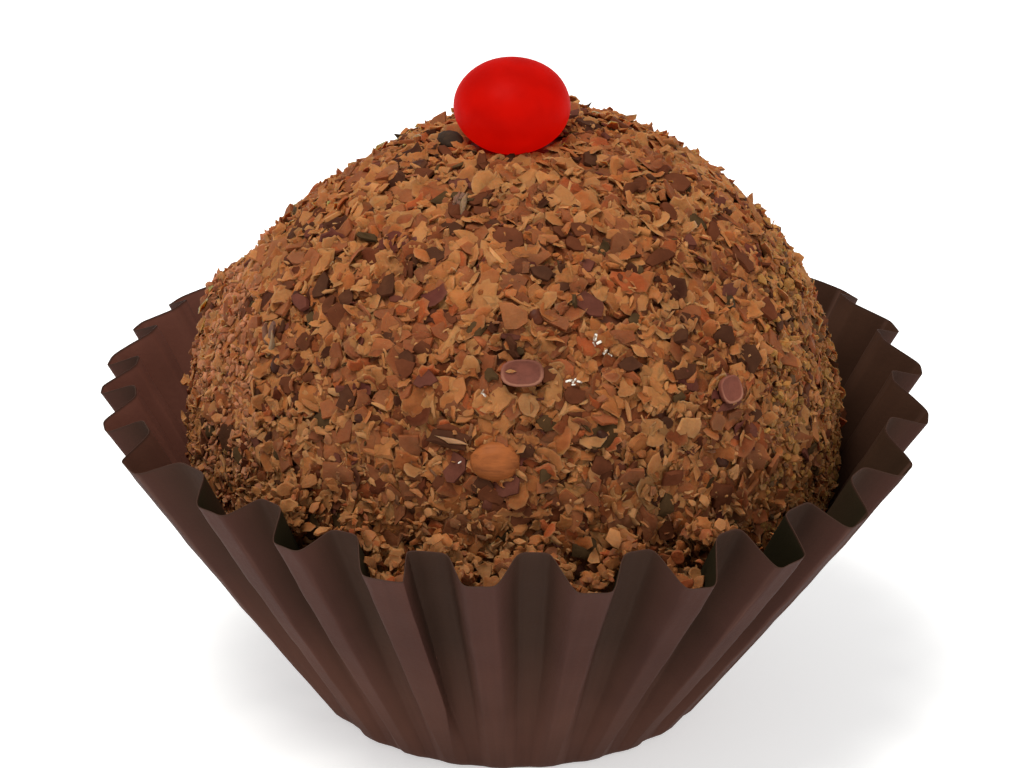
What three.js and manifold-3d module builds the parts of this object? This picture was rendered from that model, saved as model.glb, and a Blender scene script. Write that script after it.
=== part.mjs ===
// A brigadeiro: a ball of chocolate fudge rolled in chocolate flakes, with a red sugar ball
// pressed into its top, sitting in a pleated paper case.
//
// Millimetres, +Z up. The origin is the middle of the case's flat base, on the table.
// +X is to the right and -Y is to the front. Angles round the case are in degrees from the
// front, turning towards +X.

import * as THREE from "three";
import { mergeVertices } from "three/addons/utils/BufferGeometryUtils.js";
import Module from "manifold-3d";

const wasm = await Module();
wasm.setup();

// ---- Driving dimensions ----------------------------------------------------------------

// The ball of fudge and its coat
const BALL_WIDTH = 35.0; // across the flakes
const BALL_MIDDLE_Z = 15.3; // height of its widest part
const FLAKE_PROUD = 0.6; // how far the flakes stand off the fudge
const SHOULDER_DENT = 1.05; // depth of the flattened shoulder, up and to the left
const SHOULDER_DIRECTION = [-0.59, 0.33, 0.74]; // from the ball's middle to the dent's
const SHOULDER_SPREAD = 27; // degrees from the middle of the dent to where it fades
const CROWN_DIP = 0.55; // how far the fudge is pressed down round the red ball
const CROWN_SPREAD = 20; // degrees from the top to where the dip fades
const FUDGE_BUMP = 0.22; // height of the small relief of the bare fudge
const FUDGE_SAG = 0.3; // height of the slow unevenness of the whole ball

// The pleated paper case
const FIRST_CREST = -4.2; // degrees, to the middle of the crest at the front
const PLEAT_WIDTHS = [
  15.2, 14.3, 14.0, 14.3, 16.1, 15.7, 12.8, 12.5, 12.9, // from the front round the right
  12.6, 12.4, 12.9, 12.3, 12.8, 12.5, 12.2, 12.9, 12.7, // across the back
  11.2, 11.1, 8.7, 10.9, 13.2, 21.5, 14.1, 14.4, 13.8, // and forward again on the left
]; // degrees from the middle of each crest to the middle of the next, 360 in all
const BASE_FLAT = 9.3; // radius of the flat that stands on the table
const CORNER_RADIUS = 10.1; // mean radius where the wall starts
const CORNER_Z = 0.5;
const CORNER_FLUTE = 0.16; // how far the pleats stand out and in where the wall starts
const RIM_CREST_RADIUS = 21.85;
const RIM_FOLD_RADIUS = 20.0;
const RIM_CREST_Z = 16.3;
const RIM_FOLD_Z = 17.35; // a fold stands steeper than a crest, so its edge is higher
const RIM_BACK_LIFT = 1.15; // how much higher the rim stands round the back
const RIM_BENDS = [
  { angle: -46, spread: 24, out: -0.6, crestLift: 0.7, foldLift: 0.45 }, // pushed up steeper
  { angle: 32, spread: 17, out: 0.2, crestLift: -0.85, foldLift: 0 }, // the crests droop
  { angle: 120, spread: 20, out: 0.4, crestLift: 0.1, foldLift: 0.1 }, // spread wider
]; // where the hand has bent the rim: angle and spread in degrees
const PAPER = 0.3; // the paper's thickness, taken level
const CREST_SHARE = 0.25; // of a pleat's width: the flat of a crest, and the floor of a fold
const RIM_WANDER = 0.2; // by which the rim strays out, and as far down

// The red sugar ball
const RED_WIDTH = 6.06;
const RED_HEIGHT = 4.9;
const RED_MIDDLE_Z = 33.55;

// Clearance between pieces that touch
const GAP = 0.3;
const WALL_GAP = 0.5; // between the fudge and the folds of the case

// The flakes that are large enough to be solids
const FLAKES = 280;
const FLAKE_LOWEST_Z = 15.5;
const FLAKE_RADIUS = [0.85, 1.45]; // smallest and largest, from the middle to the corners
const FLAKE_THICKNESS = [0.55, 0.8];
const FLAKE_TILT = 24; // degrees, at most
const FLAKE_SEED = 7;

// Fineness
const FUDGE_DETAIL = 7; // splits along each edge of the icosahedron
const RED_SIDES = 20;
const RED_RINGS = 10;
const WALL_STEPS = 3;

// ---- Small helpers ---------------------------------------------------------------------

const CORE_RADIUS = BALL_WIDTH / 2 - FLAKE_PROUD;
const PLEATS = PLEAT_WIDTHS.length;
const COLUMNS = 4 * PLEATS; // both edges of each crest, and both edges of each fold
const UP = new THREE.Vector3(0, 0, 1);
const ALONG = new THREE.Vector3(1, 0, 0);
const { degToRad, radToDeg, lerp, clamp, smoothstep, euclideanModulo } = THREE.MathUtils;

// A repeatable stream of numbers from 0 to 1.
function seededRandom(seed) {
  let state = seed >>> 0;
  return () => {
    state = (state + 0x6d2b79f5) >>> 0;
    let mixed = Math.imul(state ^ (state >>> 15), 1 | state);
    mixed = (mixed + Math.imul(mixed ^ (mixed >>> 7), 61 | mixed)) ^ mixed;
    return ((mixed ^ (mixed >>> 14)) >>> 0) / 4294967296;
  };
}

// A closed three.js geometry as a manifold-3d solid. Triangles with no area, as a lathe makes
// on its axis, are left out.
function solidFrom(geometry) {
  const shape = geometry.clone();
  shape.deleteAttribute("normal");
  shape.deleteAttribute("uv");
  const merged = mergeVertices(shape, 1e-4);
  const kept = [];
  for (let i = 0; i < merged.index.count; i += 3) {
    const [a, b, c] = merged.index.array.slice(i, i + 3);
    if (a !== b && b !== c && a !== c) kept.push(a, b, c);
  }
  return new wasm.Manifold(
    new wasm.Mesh({
      numProp: 3,
      vertProperties: new Float32Array(merged.attributes.position.array),
      triVerts: new Uint32Array(kept),
    }),
  );
}

// The largest closed shell of a solid, which fills sealed hollows and drops loose scraps.
function mainShell(solid) {
  return solid.decompose().reduce((best, shell) => (shell.volume() > best.volume() ? shell : best));
}

// A manifold-3d solid as a three.js geometry.
function geometryFrom(solid) {
  const mesh = solid.getMesh();
  const geometry = new THREE.BufferGeometry();
  geometry.setAttribute("position", new THREE.BufferAttribute(new Float32Array(mesh.vertProperties), 3));
  geometry.setIndex(new THREE.BufferAttribute(new Uint32Array(mesh.triVerts), 1));
  geometry.computeVertexNormals();
  return geometry;
}

// Moves every vertex of a geometry to where place(vertex, index) puts it.
function reshape(geometry, place) {
  const position = geometry.getAttribute("position");
  const vertex = new THREE.Vector3();
  for (let i = 0; i < position.count; i++) {
    vertex.fromBufferAttribute(position, i);
    place(vertex, i);
    position.setXYZ(i, vertex.x, vertex.y, vertex.z);
  }
  return geometry;
}

// ---- The pleated paper case ------------------------------------------------------------

// How far a pleat strays from the rim's even reach, from about -1 to 1.
function stray(pleat) {
  const turn = pleat % PLEATS;
  return 0.8 * Math.sin(0.5 * turn) + 0.35 * Math.sin(2.3 * turn + 5.3);
}

// The middle of a pleat's crest, in degrees.
function crestAngle(pleat) {
  return PLEAT_WIDTHS.slice(0, pleat).reduce((angle, width) => angle + width, FIRST_CREST);
}

// Where a column of the wall stands: its pleat, its angle, and its crest share, which is 1 on
// the two edges of a crest and 0 on the two edges of the fold after it.
function wallColumn(column) {
  const pleat = Math.floor(column / 4);
  const width = PLEAT_WIDTHS[pleat];
  const widthBefore = PLEAT_WIDTHS[(pleat + PLEATS - 1) % PLEATS];
  const half = (CREST_SHARE * width) / 2;
  const halfBefore = (CREST_SHARE * widthBefore) / 2;
  const crest = crestAngle(pleat);
  const fold = crest + width / 2;
  const angle = [crest - halfBefore, crest + half, fold - half, fold + half][column % 4];
  return { pleat, angle, crestShare: column % 4 < 2 ? 1 : 0 };
}

// The outside of the wall's foot and of its rim, at an angle, a crest share and a stray.
function wallEnds(angle, crestShare, wander) {
  const back = smoothstep(-Math.cos(degToRad(angle)), -0.35, 0.35);
  const foot = CORNER_RADIUS + lerp(-CORNER_FLUTE, CORNER_FLUTE, crestShare);
  let rim = lerp(RIM_FOLD_RADIUS, RIM_CREST_RADIUS, crestShare) + wander;
  let rimZ = lerp(RIM_FOLD_Z, RIM_CREST_Z, crestShare) + RIM_BACK_LIFT * back - wander;
  for (const bend of RIM_BENDS) {
    const around = euclideanModulo(angle - bend.angle + 180, 360) - 180;
    const share = Math.exp(-((around / bend.spread) ** 2));
    rim += bend.out * share;
    rimZ += lerp(bend.foldLift, bend.crestLift, crestShare) * share;
  }
  return { foot, rim, rimZ };
}

// The outside of the wall in a column, at a share of the climb from the base to the rim.
function wallPoint(climb, { pleat, angle, crestShare }) {
  const { foot, rim, rimZ } = wallEnds(angle, crestShare, RIM_WANDER * stray(pleat));
  return { radius: lerp(foot, rim, climb), z: lerp(CORNER_Z, rimZ, climb) };
}

// The rows of the case's closed outline: from the middle of the underside, out and up the
// outside to the rim, then down the inside and back to the middle.
function caseRows() {
  const climbs = Array.from({ length: WALL_STEPS + 1 }, (_, step) => ({ climb: step / WALL_STEPS }));
  const outside = [{ radius: 0 }, { radius: BASE_FLAT }, ...climbs];
  const inside = outside.map((row) => ({ ...row, inner: true }));
  return [...outside, ...inside.reverse()];
}

// The outline is turned round the axis, and each column is then moved to its place.
function paperCase() {
  const rows = caseRows();
  const outline = rows.map(({ radius = RIM_CREST_RADIUS }, i) => new THREE.Vector2(radius, i));
  return reshape(new THREE.LatheGeometry(outline, COLUMNS), (vertex, i) => {
    const row = rows[i % rows.length];
    const column = wallColumn(Math.floor(i / rows.length) % COLUMNS);
    const onWall = row.climb !== undefined;
    const outer = onWall ? wallPoint(row.climb, column) : { radius: row.radius, z: 0 };
    const inset = row.inner ? PAPER : 0;
    const radius = onWall ? outer.radius - inset : outer.radius;
    const turn = degToRad(column.angle);
    vertex.set(radius * Math.sin(turn), -radius * Math.cos(turn), onWall ? outer.z : inset);
  });
}

// ---- The ball of fudge -----------------------------------------------------------------

// Slow and quick waves over a direction, each from about -1 to 1.
function slowWave({ x, y, z }) {
  return (Math.sin(2.1 * x + 0.3) + Math.sin(2.7 * y - 0.6) + Math.sin(3.1 * z + 0.6 * x - 1)) / 3;
}

function quickWave({ x, y, z }) {
  const first = Math.sin(13 * x + 4 * y + 1) * Math.sin(12 * y - 5 * z + 2);
  const second = Math.sin(14 * z + 6 * x) * Math.sin(11 * x - 9 * y + 3);
  return (first + second) / 1.4;
}

// How far the fudge's surface is from the ball's middle, in a direction.
const dentMiddle = new THREE.Vector3(...SHOULDER_DIRECTION);
function fudgeReach(direction) {
  const away = radToDeg(direction.angleTo(dentMiddle));
  const dent = SHOULDER_DENT * Math.exp(-((away / SHOULDER_SPREAD) ** 2));
  const dip = CROWN_DIP * Math.exp(-((radToDeg(direction.angleTo(UP)) / CROWN_SPREAD) ** 2));
  return CORE_RADIUS - dent - dip + FUDGE_SAG * slowWave(direction);
}

// The radius of the room inside the folds of the case, at a point's angle and height.
function roomAt({ x, y, z }) {
  const { foot, rim, rimZ } = wallEnds(radToDeg(Math.atan2(x, -y)), 0, -RIM_WANDER);
  const climb = clamp((z - CORNER_Z) / (rimZ - CORNER_Z), 0, 1);
  return lerp(foot, rim, climb) * Math.cos(Math.PI / COLUMNS) - PAPER - WALL_GAP;
}

// A point on the fudge: round above, and pressed into the case and onto its base below.
function fudgePoint(direction, reach) {
  const point = direction.clone().multiplyScalar(reach);
  point.z = Math.max(point.z + BALL_MIDDLE_Z, PAPER + GAP);
  const level = Math.hypot(point.x, point.y);
  const squeeze = level > 0 ? Math.min(1, roomAt(point) / level) : 1;
  return point.set(point.x * squeeze, point.y * squeeze, point.z);
}

function fudgeBall() {
  return reshape(new THREE.IcosahedronGeometry(1, FUDGE_DETAIL), (vertex) => {
    const direction = vertex.clone().normalize();
    vertex.copy(fudgePoint(direction, fudgeReach(direction) + FUDGE_BUMP * quickWave(direction)));
  });
}

// ---- The flakes ------------------------------------------------------------------------

// One flake: a thin chip with four or five uneven corners, whose face is at z = 0.
function flakeChip(random) {
  const corners = random() < 0.45 ? 4 : 5;
  const radius = lerp(...FLAKE_RADIUS, random() ** 1.3);
  const stretch = lerp(0.7, 1.0, random());
  const outline = Array.from({ length: corners }, (_, i) => {
    const turn = (2 * Math.PI * (i + 0.5 * (random() - 0.5))) / corners;
    const reach = radius * lerp(0.72, 1.0, random());
    return new THREE.Vector2(reach * Math.cos(turn), reach * Math.sin(turn) * stretch);
  });
  const depth = lerp(...FLAKE_THICKNESS, random());
  const chip = new THREE.ExtrudeGeometry(new THREE.Shape(outline), { depth, bevelEnabled: false });
  return chip.translate(0, 0, -depth);
}

// The directions of the flakes from the ball's middle, spread evenly by the golden angle over
// the part of the ball that shows.
function flakeDirections() {
  const goldenAngle = Math.PI * (3 - Math.sqrt(5));
  const lowest = (FLAKE_LOWEST_Z - BALL_MIDDLE_Z) / CORE_RADIUS;
  return Array.from({ length: FLAKES }, (_, i) => {
    const up = 1 - ((1 - lowest) * (i + 0.5)) / FLAKES;
    const level = Math.sqrt(1 - up * up);
    return new THREE.Vector3(level * Math.cos(i * goldenAngle), level * Math.sin(i * goldenAngle), up);
  });
}

// Each chip is pressed into the fudge with a turn and a tilt of its own.
function flakes() {
  const random = seededRandom(FLAKE_SEED);
  return flakeDirections().map((direction) => {
    const chip = flakeChip(random);
    const seat = new THREE.Quaternion().setFromUnitVectors(UP, direction);
    seat.multiply(new THREE.Quaternion().setFromAxisAngle(UP, 2 * Math.PI * random()));
    seat.multiply(new THREE.Quaternion().setFromAxisAngle(ALONG, degToRad(FLAKE_TILT * random())));
    const proud = lerp(FLAKE_PROUD / 2, FLAKE_PROUD, random());
    const place = fudgePoint(direction, fudgeReach(direction) + proud);
    return solidFrom(chip.applyQuaternion(seat).translate(place.x, place.y, place.z));
  });
}

// ---- The red sugar ball ----------------------------------------------------------------

// A slightly flattened ball about the origin, grown by a margin all round.
function redShape(margin) {
  const profile = Array.from({ length: RED_RINGS + 1 }, (_, ring) => {
    const turn = (Math.PI * ring) / RED_RINGS - Math.PI / 2;
    const onAxis = ring === 0 || ring === RED_RINGS;
    const level = onAxis ? 0 : Math.cos(turn) * (RED_WIDTH / 2 + margin);
    return new THREE.Vector2(level, Math.sin(turn) * (RED_HEIGHT / 2 + margin));
  });
  return new THREE.LatheGeometry(profile, RED_SIDES).rotateX(Math.PI / 2);
}

// ---- The whole -------------------------------------------------------------------------

// The fudge with its flakes, and a hollow in its top that the red ball sits in.
function flakedBall() {
  const joined = flakes().reduce((whole, chip) => whole.add(chip), solidFrom(fudgeBall()));
  const seat = solidFrom(redShape(GAP).translate(0, 0, RED_MIDDLE_Z));
  return mainShell(joined.subtract(seat));
}

function named(name, solid, color, roughness) {
  const material = new THREE.MeshStandardMaterial({ color, roughness, metalness: 0 });
  const mesh = new THREE.Mesh(geometryFrom(solid), material);
  mesh.name = name;
  return mesh;
}

const brigadeiro = new THREE.Group();
brigadeiro.add(named("paper_case", solidFrom(paperCase()), 0x432e28, 0.7));
brigadeiro.add(named("flaked_ball", flakedBall(), 0x7c4b2d, 0.75));

const redBall = named("red_sugar_ball", solidFrom(redShape(0)), 0xc40d02, 0.35);
redBall.position.z = RED_MIDDLE_Z;
brigadeiro.add(redBall);

export default brigadeiro;
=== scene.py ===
"""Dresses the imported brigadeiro: its paper case, fudge, chocolate flakes and red sugar ball.

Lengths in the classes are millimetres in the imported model's own frame, with +Z up and -Y to
the front, and a mesh is brought to metres when its piece is finished. Angles round the case are
degrees from the front, turning towards +X.
"""

import logging
import math
from collections.abc import Callable, Mapping, Sequence
from dataclasses import dataclass, field
from enum import Enum
from typing import Any

import bmesh
import bpy
import numpy as np
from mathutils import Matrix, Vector
from mathutils.bvhtree import BVHTree


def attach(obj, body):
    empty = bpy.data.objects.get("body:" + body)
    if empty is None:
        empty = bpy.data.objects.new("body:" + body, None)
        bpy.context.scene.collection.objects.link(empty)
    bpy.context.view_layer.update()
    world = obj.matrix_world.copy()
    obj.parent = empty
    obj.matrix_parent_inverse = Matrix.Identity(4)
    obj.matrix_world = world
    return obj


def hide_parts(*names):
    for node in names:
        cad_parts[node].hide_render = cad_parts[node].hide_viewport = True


LOG = logging.getLogger("brigadeiro")

MM = 0.001
IMAGE_WIDTH = 1024
BODY = "root"

# Angles between faces, in degrees, past which an edge is left sharp.
PAPER_CREASE = 60.0
FLAKE_CREASE = 42.0
NO_CREASE = 180.0

Colour = tuple[float, float, float]
Number = float | np.ndarray


def srgb(red: int, green: int, blue: int) -> Colour:
    """Turns a screen colour into the linear colour that shaders use.

    Args:
        red: Red, from 0 to 255.
        green: Green, from 0 to 255.
        blue: Blue, from 0 to 255.

    Returns:
        The linear colour.
    """
    def linear(level: float) -> float:
        """One channel, from 0 to 1."""
        return level / 12.92 if level <= 0.04045 else ((level + 0.055) / 1.055) ** 2.4

    return linear(red / 255), linear(green / 255), linear(blue / 255)


def lerp(start: Number, end: Number, share: Number) -> Number:
    """The value at a share of the way from start to end."""
    return start + (end - start) * share


def smoothstep(low: float, high: float, value: Number) -> Number:
    """Rises smoothly from 0 at low to 1 at high."""
    share = np.clip((value - low) / (high - low), 0.0, 1.0)
    return share * share * (3.0 - 2.0 * share)


# ---- Shader graphs -----------------------------------------------------------------------


class Signal:
    """A socket of a finish's graph, used like a number in Python expressions."""

    def __init__(self, graph: "FinishGraph", socket: bpy.types.NodeSocket) -> None:
        """Keeps the graph and the socket."""
        self.graph = graph
        self.socket = socket

    def maths(self, operation: str, *values: "Signal | float", clamp: bool = False) -> "Signal":
        """Adds a Math node.

        Args:
            operation: The Math node's operation.
            *values: Its inputs, in order.
            clamp: Whether the result is kept between 0 and 1.

        Returns:
            The node's result.
        """
        settings = {"operation": operation, "use_clamp": clamp}
        node = self.graph.node("ShaderNodeMath", settings, dict(enumerate(values)))
        return Signal(self.graph, node.outputs[0])

    def __add__(self, other: "Signal | float") -> "Signal":
        """self + other."""
        return self.maths("ADD", self, other)

    def __radd__(self, other: float) -> "Signal":
        """other + self."""
        return self.maths("ADD", other, self)

    def __sub__(self, other: "Signal | float") -> "Signal":
        """self - other."""
        return self.maths("SUBTRACT", self, other)

    def __rsub__(self, other: float) -> "Signal":
        """other - self."""
        return self.maths("SUBTRACT", other, self)

    def __mul__(self, other: "Signal | float") -> "Signal":
        """self * other."""
        return self.maths("MULTIPLY", self, other)

    def __rmul__(self, other: float) -> "Signal":
        """other * self."""
        return self.maths("MULTIPLY", other, self)

    def clamped(self) -> "Signal":
        """The same value, kept between 0 and 1."""
        return self.maths("ADD", self, 0.0, clamp=True)

    def ramp(self, low: float, high: float) -> "Signal":
        """Rises from 0 where the value is low to 1 where it is high."""
        return ((self - low) * (1.0 / (high - low))).clamped()

    def across(self, span: tuple[float, float]) -> "Signal":
        """A coordinate's rise from 0 to 1 across a span in millimetres."""
        return self.ramp(span[0] * MM, span[1] * MM)


class FinishGraph:
    """The node graph of one finish, which ends in a Principled shader."""

    def __init__(self, name: str, shader: Mapping[str, Any]) -> None:
        """Makes the material and its shader.

        Args:
            name: The material's name.
            shader: Values of the shader's sockets that are the same all over.
        """
        self.material = bpy.data.materials.new(name)
        self.material.use_nodes = True
        self.tree = self.material.node_tree
        self.tree.nodes.clear()
        self.shader = self.node("ShaderNodeBsdfPrincipled", inputs=shader)
        surface = Signal(self, self.shader.outputs["BSDF"])
        self.node("ShaderNodeOutputMaterial", inputs={"Surface": surface})
        place = self.node("ShaderNodeTexCoord")
        self.place = Signal(self, place.outputs["Object"])

    def node(
        self,
        kind: str,
        settings: Mapping[str, Any] | None = None,
        inputs: Mapping[str | int, Any] | None = None,
    ) -> bpy.types.Node:
        """Adds a node.

        Args:
            kind: The node's type.
            settings: Its own settings, and the stops of a colour ramp, set before its sockets.
            inputs: The values or links of its sockets, by name or number.

        Returns:
            The new node.
        """
        node = self.tree.nodes.new(kind)
        for name, value in (settings or {}).items():
            if name == "stops":
                self._set_stops(node.color_ramp, value)
            else:
                setattr(node, name, value)
        for key, value in (inputs or {}).items():
            self.feed(node.inputs[key], value)
        return node

    @staticmethod
    def _set_stops(ramp: bpy.types.ColorRamp, stops: Sequence[tuple[float, Colour]]) -> None:
        """Gives a colour ramp its stops, each a place and a colour.

        Args:
            ramp: The colour ramp.
            stops: Its stops, in order.
        """
        while len(ramp.elements) < len(stops):
            ramp.elements.new(1.0)
        for element, (place, colour) in zip(ramp.elements, stops):
            element.position = place
            element.color = (*colour, 1.0)

    def feed(self, socket: bpy.types.NodeSocket, value: Any) -> None:
        """Links a signal to a socket, or sets the socket's own value.

        Args:
            socket: The socket that is fed.
            value: A signal, a number, a vector or a colour.
        """
        if isinstance(value, Signal):
            self.tree.links.new(socket, value.socket)
        elif socket.type == "RGBA" and len(value) == 3:
            socket.default_value = (*value, 1.0)
        else:
            socket.default_value = value

    def mix(
        self,
        share: Signal | float,
        first: Signal | Colour,
        second: Signal | Colour,
        blend: str = "MIX",
    ) -> Signal:
        """Mixes two colours.

        Args:
            share: How much of the second colour is taken.
            first: The first colour.
            second: The second colour.
            blend: The Mix node's way of blending.

        Returns:
            The mixed colour.
        """
        settings = {"data_type": "RGBA", "blend_type": blend}
        node = self.node("ShaderNodeMix", settings, {0: share, 6: first, 7: second})
        return Signal(self, node.outputs[2])

    def shade(self, colour: Signal | Colour, level: Signal) -> Signal:
        """A colour times a level."""
        return self.mix(1.0, colour, level, "MULTIPLY")

    def noise(
        self, size: float, detail: float = 3.0, roughness: float = 0.5, place: Signal | None = None
    ) -> Signal:
        """Soft random blotches.

        Args:
            size: The width of a blotch, in millimetres, or in the units of place.
            detail: How many finer layers are added.
            roughness: How strong the finer layers are.
            place: Where the pattern is read, if not at the object's own coordinates.

        Returns:
            A value that mostly lies between 0.3 and 0.7.
        """
        scale = 1.0 / size if place else 1.0 / (size * MM)
        inputs = {"Vector": place or self.place, "Scale": scale, "Detail": detail,
                  "Roughness": roughness}
        node = self.node("ShaderNodeTexNoise", {"noise_dimensions": "3D"}, inputs)
        return Signal(self, node.outputs[0])

    def attribute(self, name: str) -> Signal:
        """A number that the mesh holds at each vertex."""
        node = self.node("ShaderNodeAttribute", {"attribute_name": name})
        return Signal(self, node.outputs["Fac"])

    def attribute_colour(self, name: str) -> Signal:
        """A colour that the mesh holds at each vertex."""
        node = self.node("ShaderNodeAttribute", {"attribute_name": name})
        return Signal(self, node.outputs["Color"])

    def vector(self, operation: str, first: Signal, second: Signal | Sequence[float]) -> Signal:
        """A Vector Math node on two vectors."""
        node = self.node("ShaderNodeVectorMath", {"operation": operation}, {0: first, 1: second})
        return Signal(self, node.outputs[0])

    def relief(self, height: Signal, depth: float, strength: float) -> None:
        """Raises the surface's shading by a height.

        Args:
            height: The relief, from 0 to 1.
            depth: The height that 1 stands for, in millimetres.
            strength: How strongly it shows.
        """
        inputs = {"Height": height, "Distance": depth * MM, "Strength": strength}
        bump = self.node("ShaderNodeBump", inputs=inputs)
        self.wear("Normal", Signal(self, bump.outputs[0]))

    def wear(self, name: str, value: Signal | float | Colour) -> None:
        """Feeds one of the shader's sockets."""
        self.feed(self.shader.inputs[name], value)


# ---- Finishes ----------------------------------------------------------------------------


@dataclass(frozen=True)
class CasePaperFinish:
    """Thin brown baking paper: painted highlights along the creases, and painted red light inside
    on the left.
    """

    # The fold colour is darker than the crest colour: partly painted shade in the folds and partly
    # the paper's own olive tone.
    crest: Colour = srgb(65, 39, 32)
    fold: Colour = srgb(55, 37, 28)
    # Lighter colour for the foot of the wall: painted light.
    foot: Colour = srgb(80, 51, 41)
    shaded_inside_front: Colour = srgb(34, 29, 17)
    lit_inside_left: Colour = srgb(100, 61, 50)
    shaded_inside_right: Colour = srgb(62, 40, 29)
    crease_highlight: Colour = srgb(100, 72, 62)
    edge: Colour = srgb(60, 40, 32)
    crease_highlight_share: float = 0.4
    roughness: float = 0.68
    foot_climb: tuple[float, float] = (0.6, 0.1)
    side_span: tuple[float, float] = (-18.0, 18.0)
    front_span: tuple[float, float] = (-2.0, -13.0)
    shade_span: tuple[float, float] = (-8.0, 12.0)
    shade_depth: float = 0.14
    streak_stretch: float = 2.2

    def material(self) -> bpy.types.Material:
        """Makes the paper's material.

        Returns:
            The finished material.
        """
        graph = FinishGraph("brown_case_paper", {"Specular IOR Level": 0.06})
        crest, climb = graph.attribute("crest"), graph.attribute("climb")
        inside, edge, crease = (graph.attribute(name) for name in ("inside", "edge", "crease"))
        split = graph.node("ShaderNodeSeparateXYZ", inputs={0: graph.place})
        x, y = (Signal(graph, split.outputs[number]) for number in (0, 1))
        level = graph.vector("MULTIPLY", graph.place, (1.0, 1.0, 0.0))
        level = graph.vector("NORMALIZE", level, (0.0, 0.0, 0.0))
        upward = graph.vector("MULTIPLY", graph.place, (0.0, 0.0, self.streak_stretch))
        streaks = graph.noise(0.02, 4.0, 0.55, graph.vector("ADD", level, upward))
        clouds, fibres = graph.noise(5.0, 2.0), graph.noise(0.22, 5.0, 0.65)
        panel = graph.mix(crest, self.fold, self.crest)
        # Painted light: the wall gets lighter towards its foot.
        wall = graph.mix(climb.ramp(*self.foot_climb), panel, self.foot)
        # The lining carries painted light and shade: lighter and redder on the left, as light
        # shining through the paper, darker on the right and darkest in the front pockets, shaded by
        # the ball.
        lining = graph.mix(x.across(self.side_span), self.lit_inside_left, self.shaded_inside_right)
        lining = graph.mix(y.across(self.front_span), lining, self.shaded_inside_front)
        colour = graph.mix(inside, wall, lining)
        # Painted light on the pleats' sloping sides, which lifts the shade beside the crests.
        side = crest * (1.0 - crest)
        tone = 0.55 + 0.5 * clouds + 0.3 * streaks + 0.16 * fibres + 0.5 * side
        tone = tone - self.shade_depth * x.across(self.shade_span)
        # Painted highlight along the crest creases, broken up by the streaks.
        wear = crease * streaks.ramp(0.42, 0.66) * self.crease_highlight_share
        colour = graph.mix(wear, graph.shade(colour, tone), self.crease_highlight)
        graph.wear("Base Color", graph.mix(edge, colour, self.edge))
        graph.wear("Roughness", self.roughness - 0.12 + 0.24 * fibres)
        graph.relief(0.5 * fibres + 0.3 * streaks + 0.2 * clouds, 0.06, 0.5)
        return graph.material


@dataclass(frozen=True)
class FlakeFinish:
    """Chocolate flakes: each has its own tint, with a painted highlight along the rims, pale bloom
    specks and a grainy break.
    """

    bloom_and_rim_light: Colour = srgb(166, 120, 82)
    bloom_and_rim_light_share: float = 0.2
    roughness: float = 0.66
    grain_depth: float = 0.08
    softness: float = 0.35
    speckle: float = 0.4
    sheen: float = 0.08

    def material(self, name: str) -> bpy.types.Material:
        """Makes the flakes' material.

        Args:
            name: The name of the piece that it is for.

        Returns:
            The finished material.
        """
        graph = FinishGraph(name, {
            "Specular IOR Level": self.sheen, "Subsurface Weight": self.softness,
            "Subsurface Radius": (1.0, 0.4, 0.18), "Subsurface Scale": 0.5 * MM,
        })
        tint, edge = graph.attribute_colour("tint"), graph.attribute("edge")
        clouds, blotches = graph.noise(2.4, 2.0), graph.noise(0.6, 3.0)
        grain = graph.noise(0.14, 3.0)
        colour = graph.shade(tint, 0.14 + 0.9 * clouds + 0.56 * blotches + 0.3 * grain)
        # Painted highlight along each flake's rim, and pale bloom specks.
        dust_and_rim_light = (edge * 0.7 + blotches.ramp(0.52, 0.72) * self.speckle) * self.bloom_and_rim_light_share
        graph.wear("Base Color", graph.mix(dust_and_rim_light, colour, self.bloom_and_rim_light))
        graph.wear("Roughness", self.roughness - 0.15 + 0.3 * grain)
        graph.relief(0.6 * blotches + 0.4 * grain, self.grain_depth, 0.9)
        return graph.material


@dataclass(frozen=True)
class NutFinish:
    """The skin of a nut, with furrows along it."""

    furrow: Colour = srgb(74, 36, 18)
    furrow_share: float = 0.5
    furrow_width: float = 0.3
    stretch: tuple[float, float, float] = (0.14, 1.0, 1.0)

    def material(self, name: str) -> bpy.types.Material:
        """Makes the nut's material.

        Args:
            name: The name of the piece that it is for.

        Returns:
            The finished material.
        """
        graph = FinishGraph(name, {"Specular IOR Level": 0.1})
        tint = graph.attribute_colour("tint")
        along = graph.vector("MULTIPLY", graph.place, self.stretch)
        furrows = graph.noise(self.furrow_width * MM, 3.0, 0.6, along)
        clouds = graph.noise(1.1, 2.0)
        colour = graph.shade(tint, 0.5 + 0.7 * clouds + 0.3 * furrows)
        share = furrows.ramp(0.46, 0.66) * self.furrow_share
        graph.wear("Base Color", graph.mix(share, colour, self.furrow))
        graph.wear("Roughness", 0.5 + 0.2 * furrows)
        graph.relief(1.0 - furrows, 0.1, 0.8)
        return graph.material


@dataclass(frozen=True)
class FudgeFinish:
    """Dark, slightly sticky chocolate fudge, seen between the flakes."""

    dark: Colour = srgb(86, 41, 18)
    light: Colour = srgb(116, 59, 27)

    def material(self) -> bpy.types.Material:
        """Makes the fudge's material.

        Returns:
            The finished material.
        """
        graph = FinishGraph("chocolate_fudge", {"Specular IOR Level": 0.2})
        lumps, grain = graph.noise(0.9, 3.0, 0.6), graph.noise(0.18, 3.0, 0.6)
        graph.wear("Base Color", graph.mix(lumps.ramp(0.4, 0.7), self.dark, self.light))
        graph.wear("Roughness", 0.38 + 0.3 * grain)
        graph.relief(0.7 * lumps + 0.3 * grain, 0.12, 0.7)
        return graph.material


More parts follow.
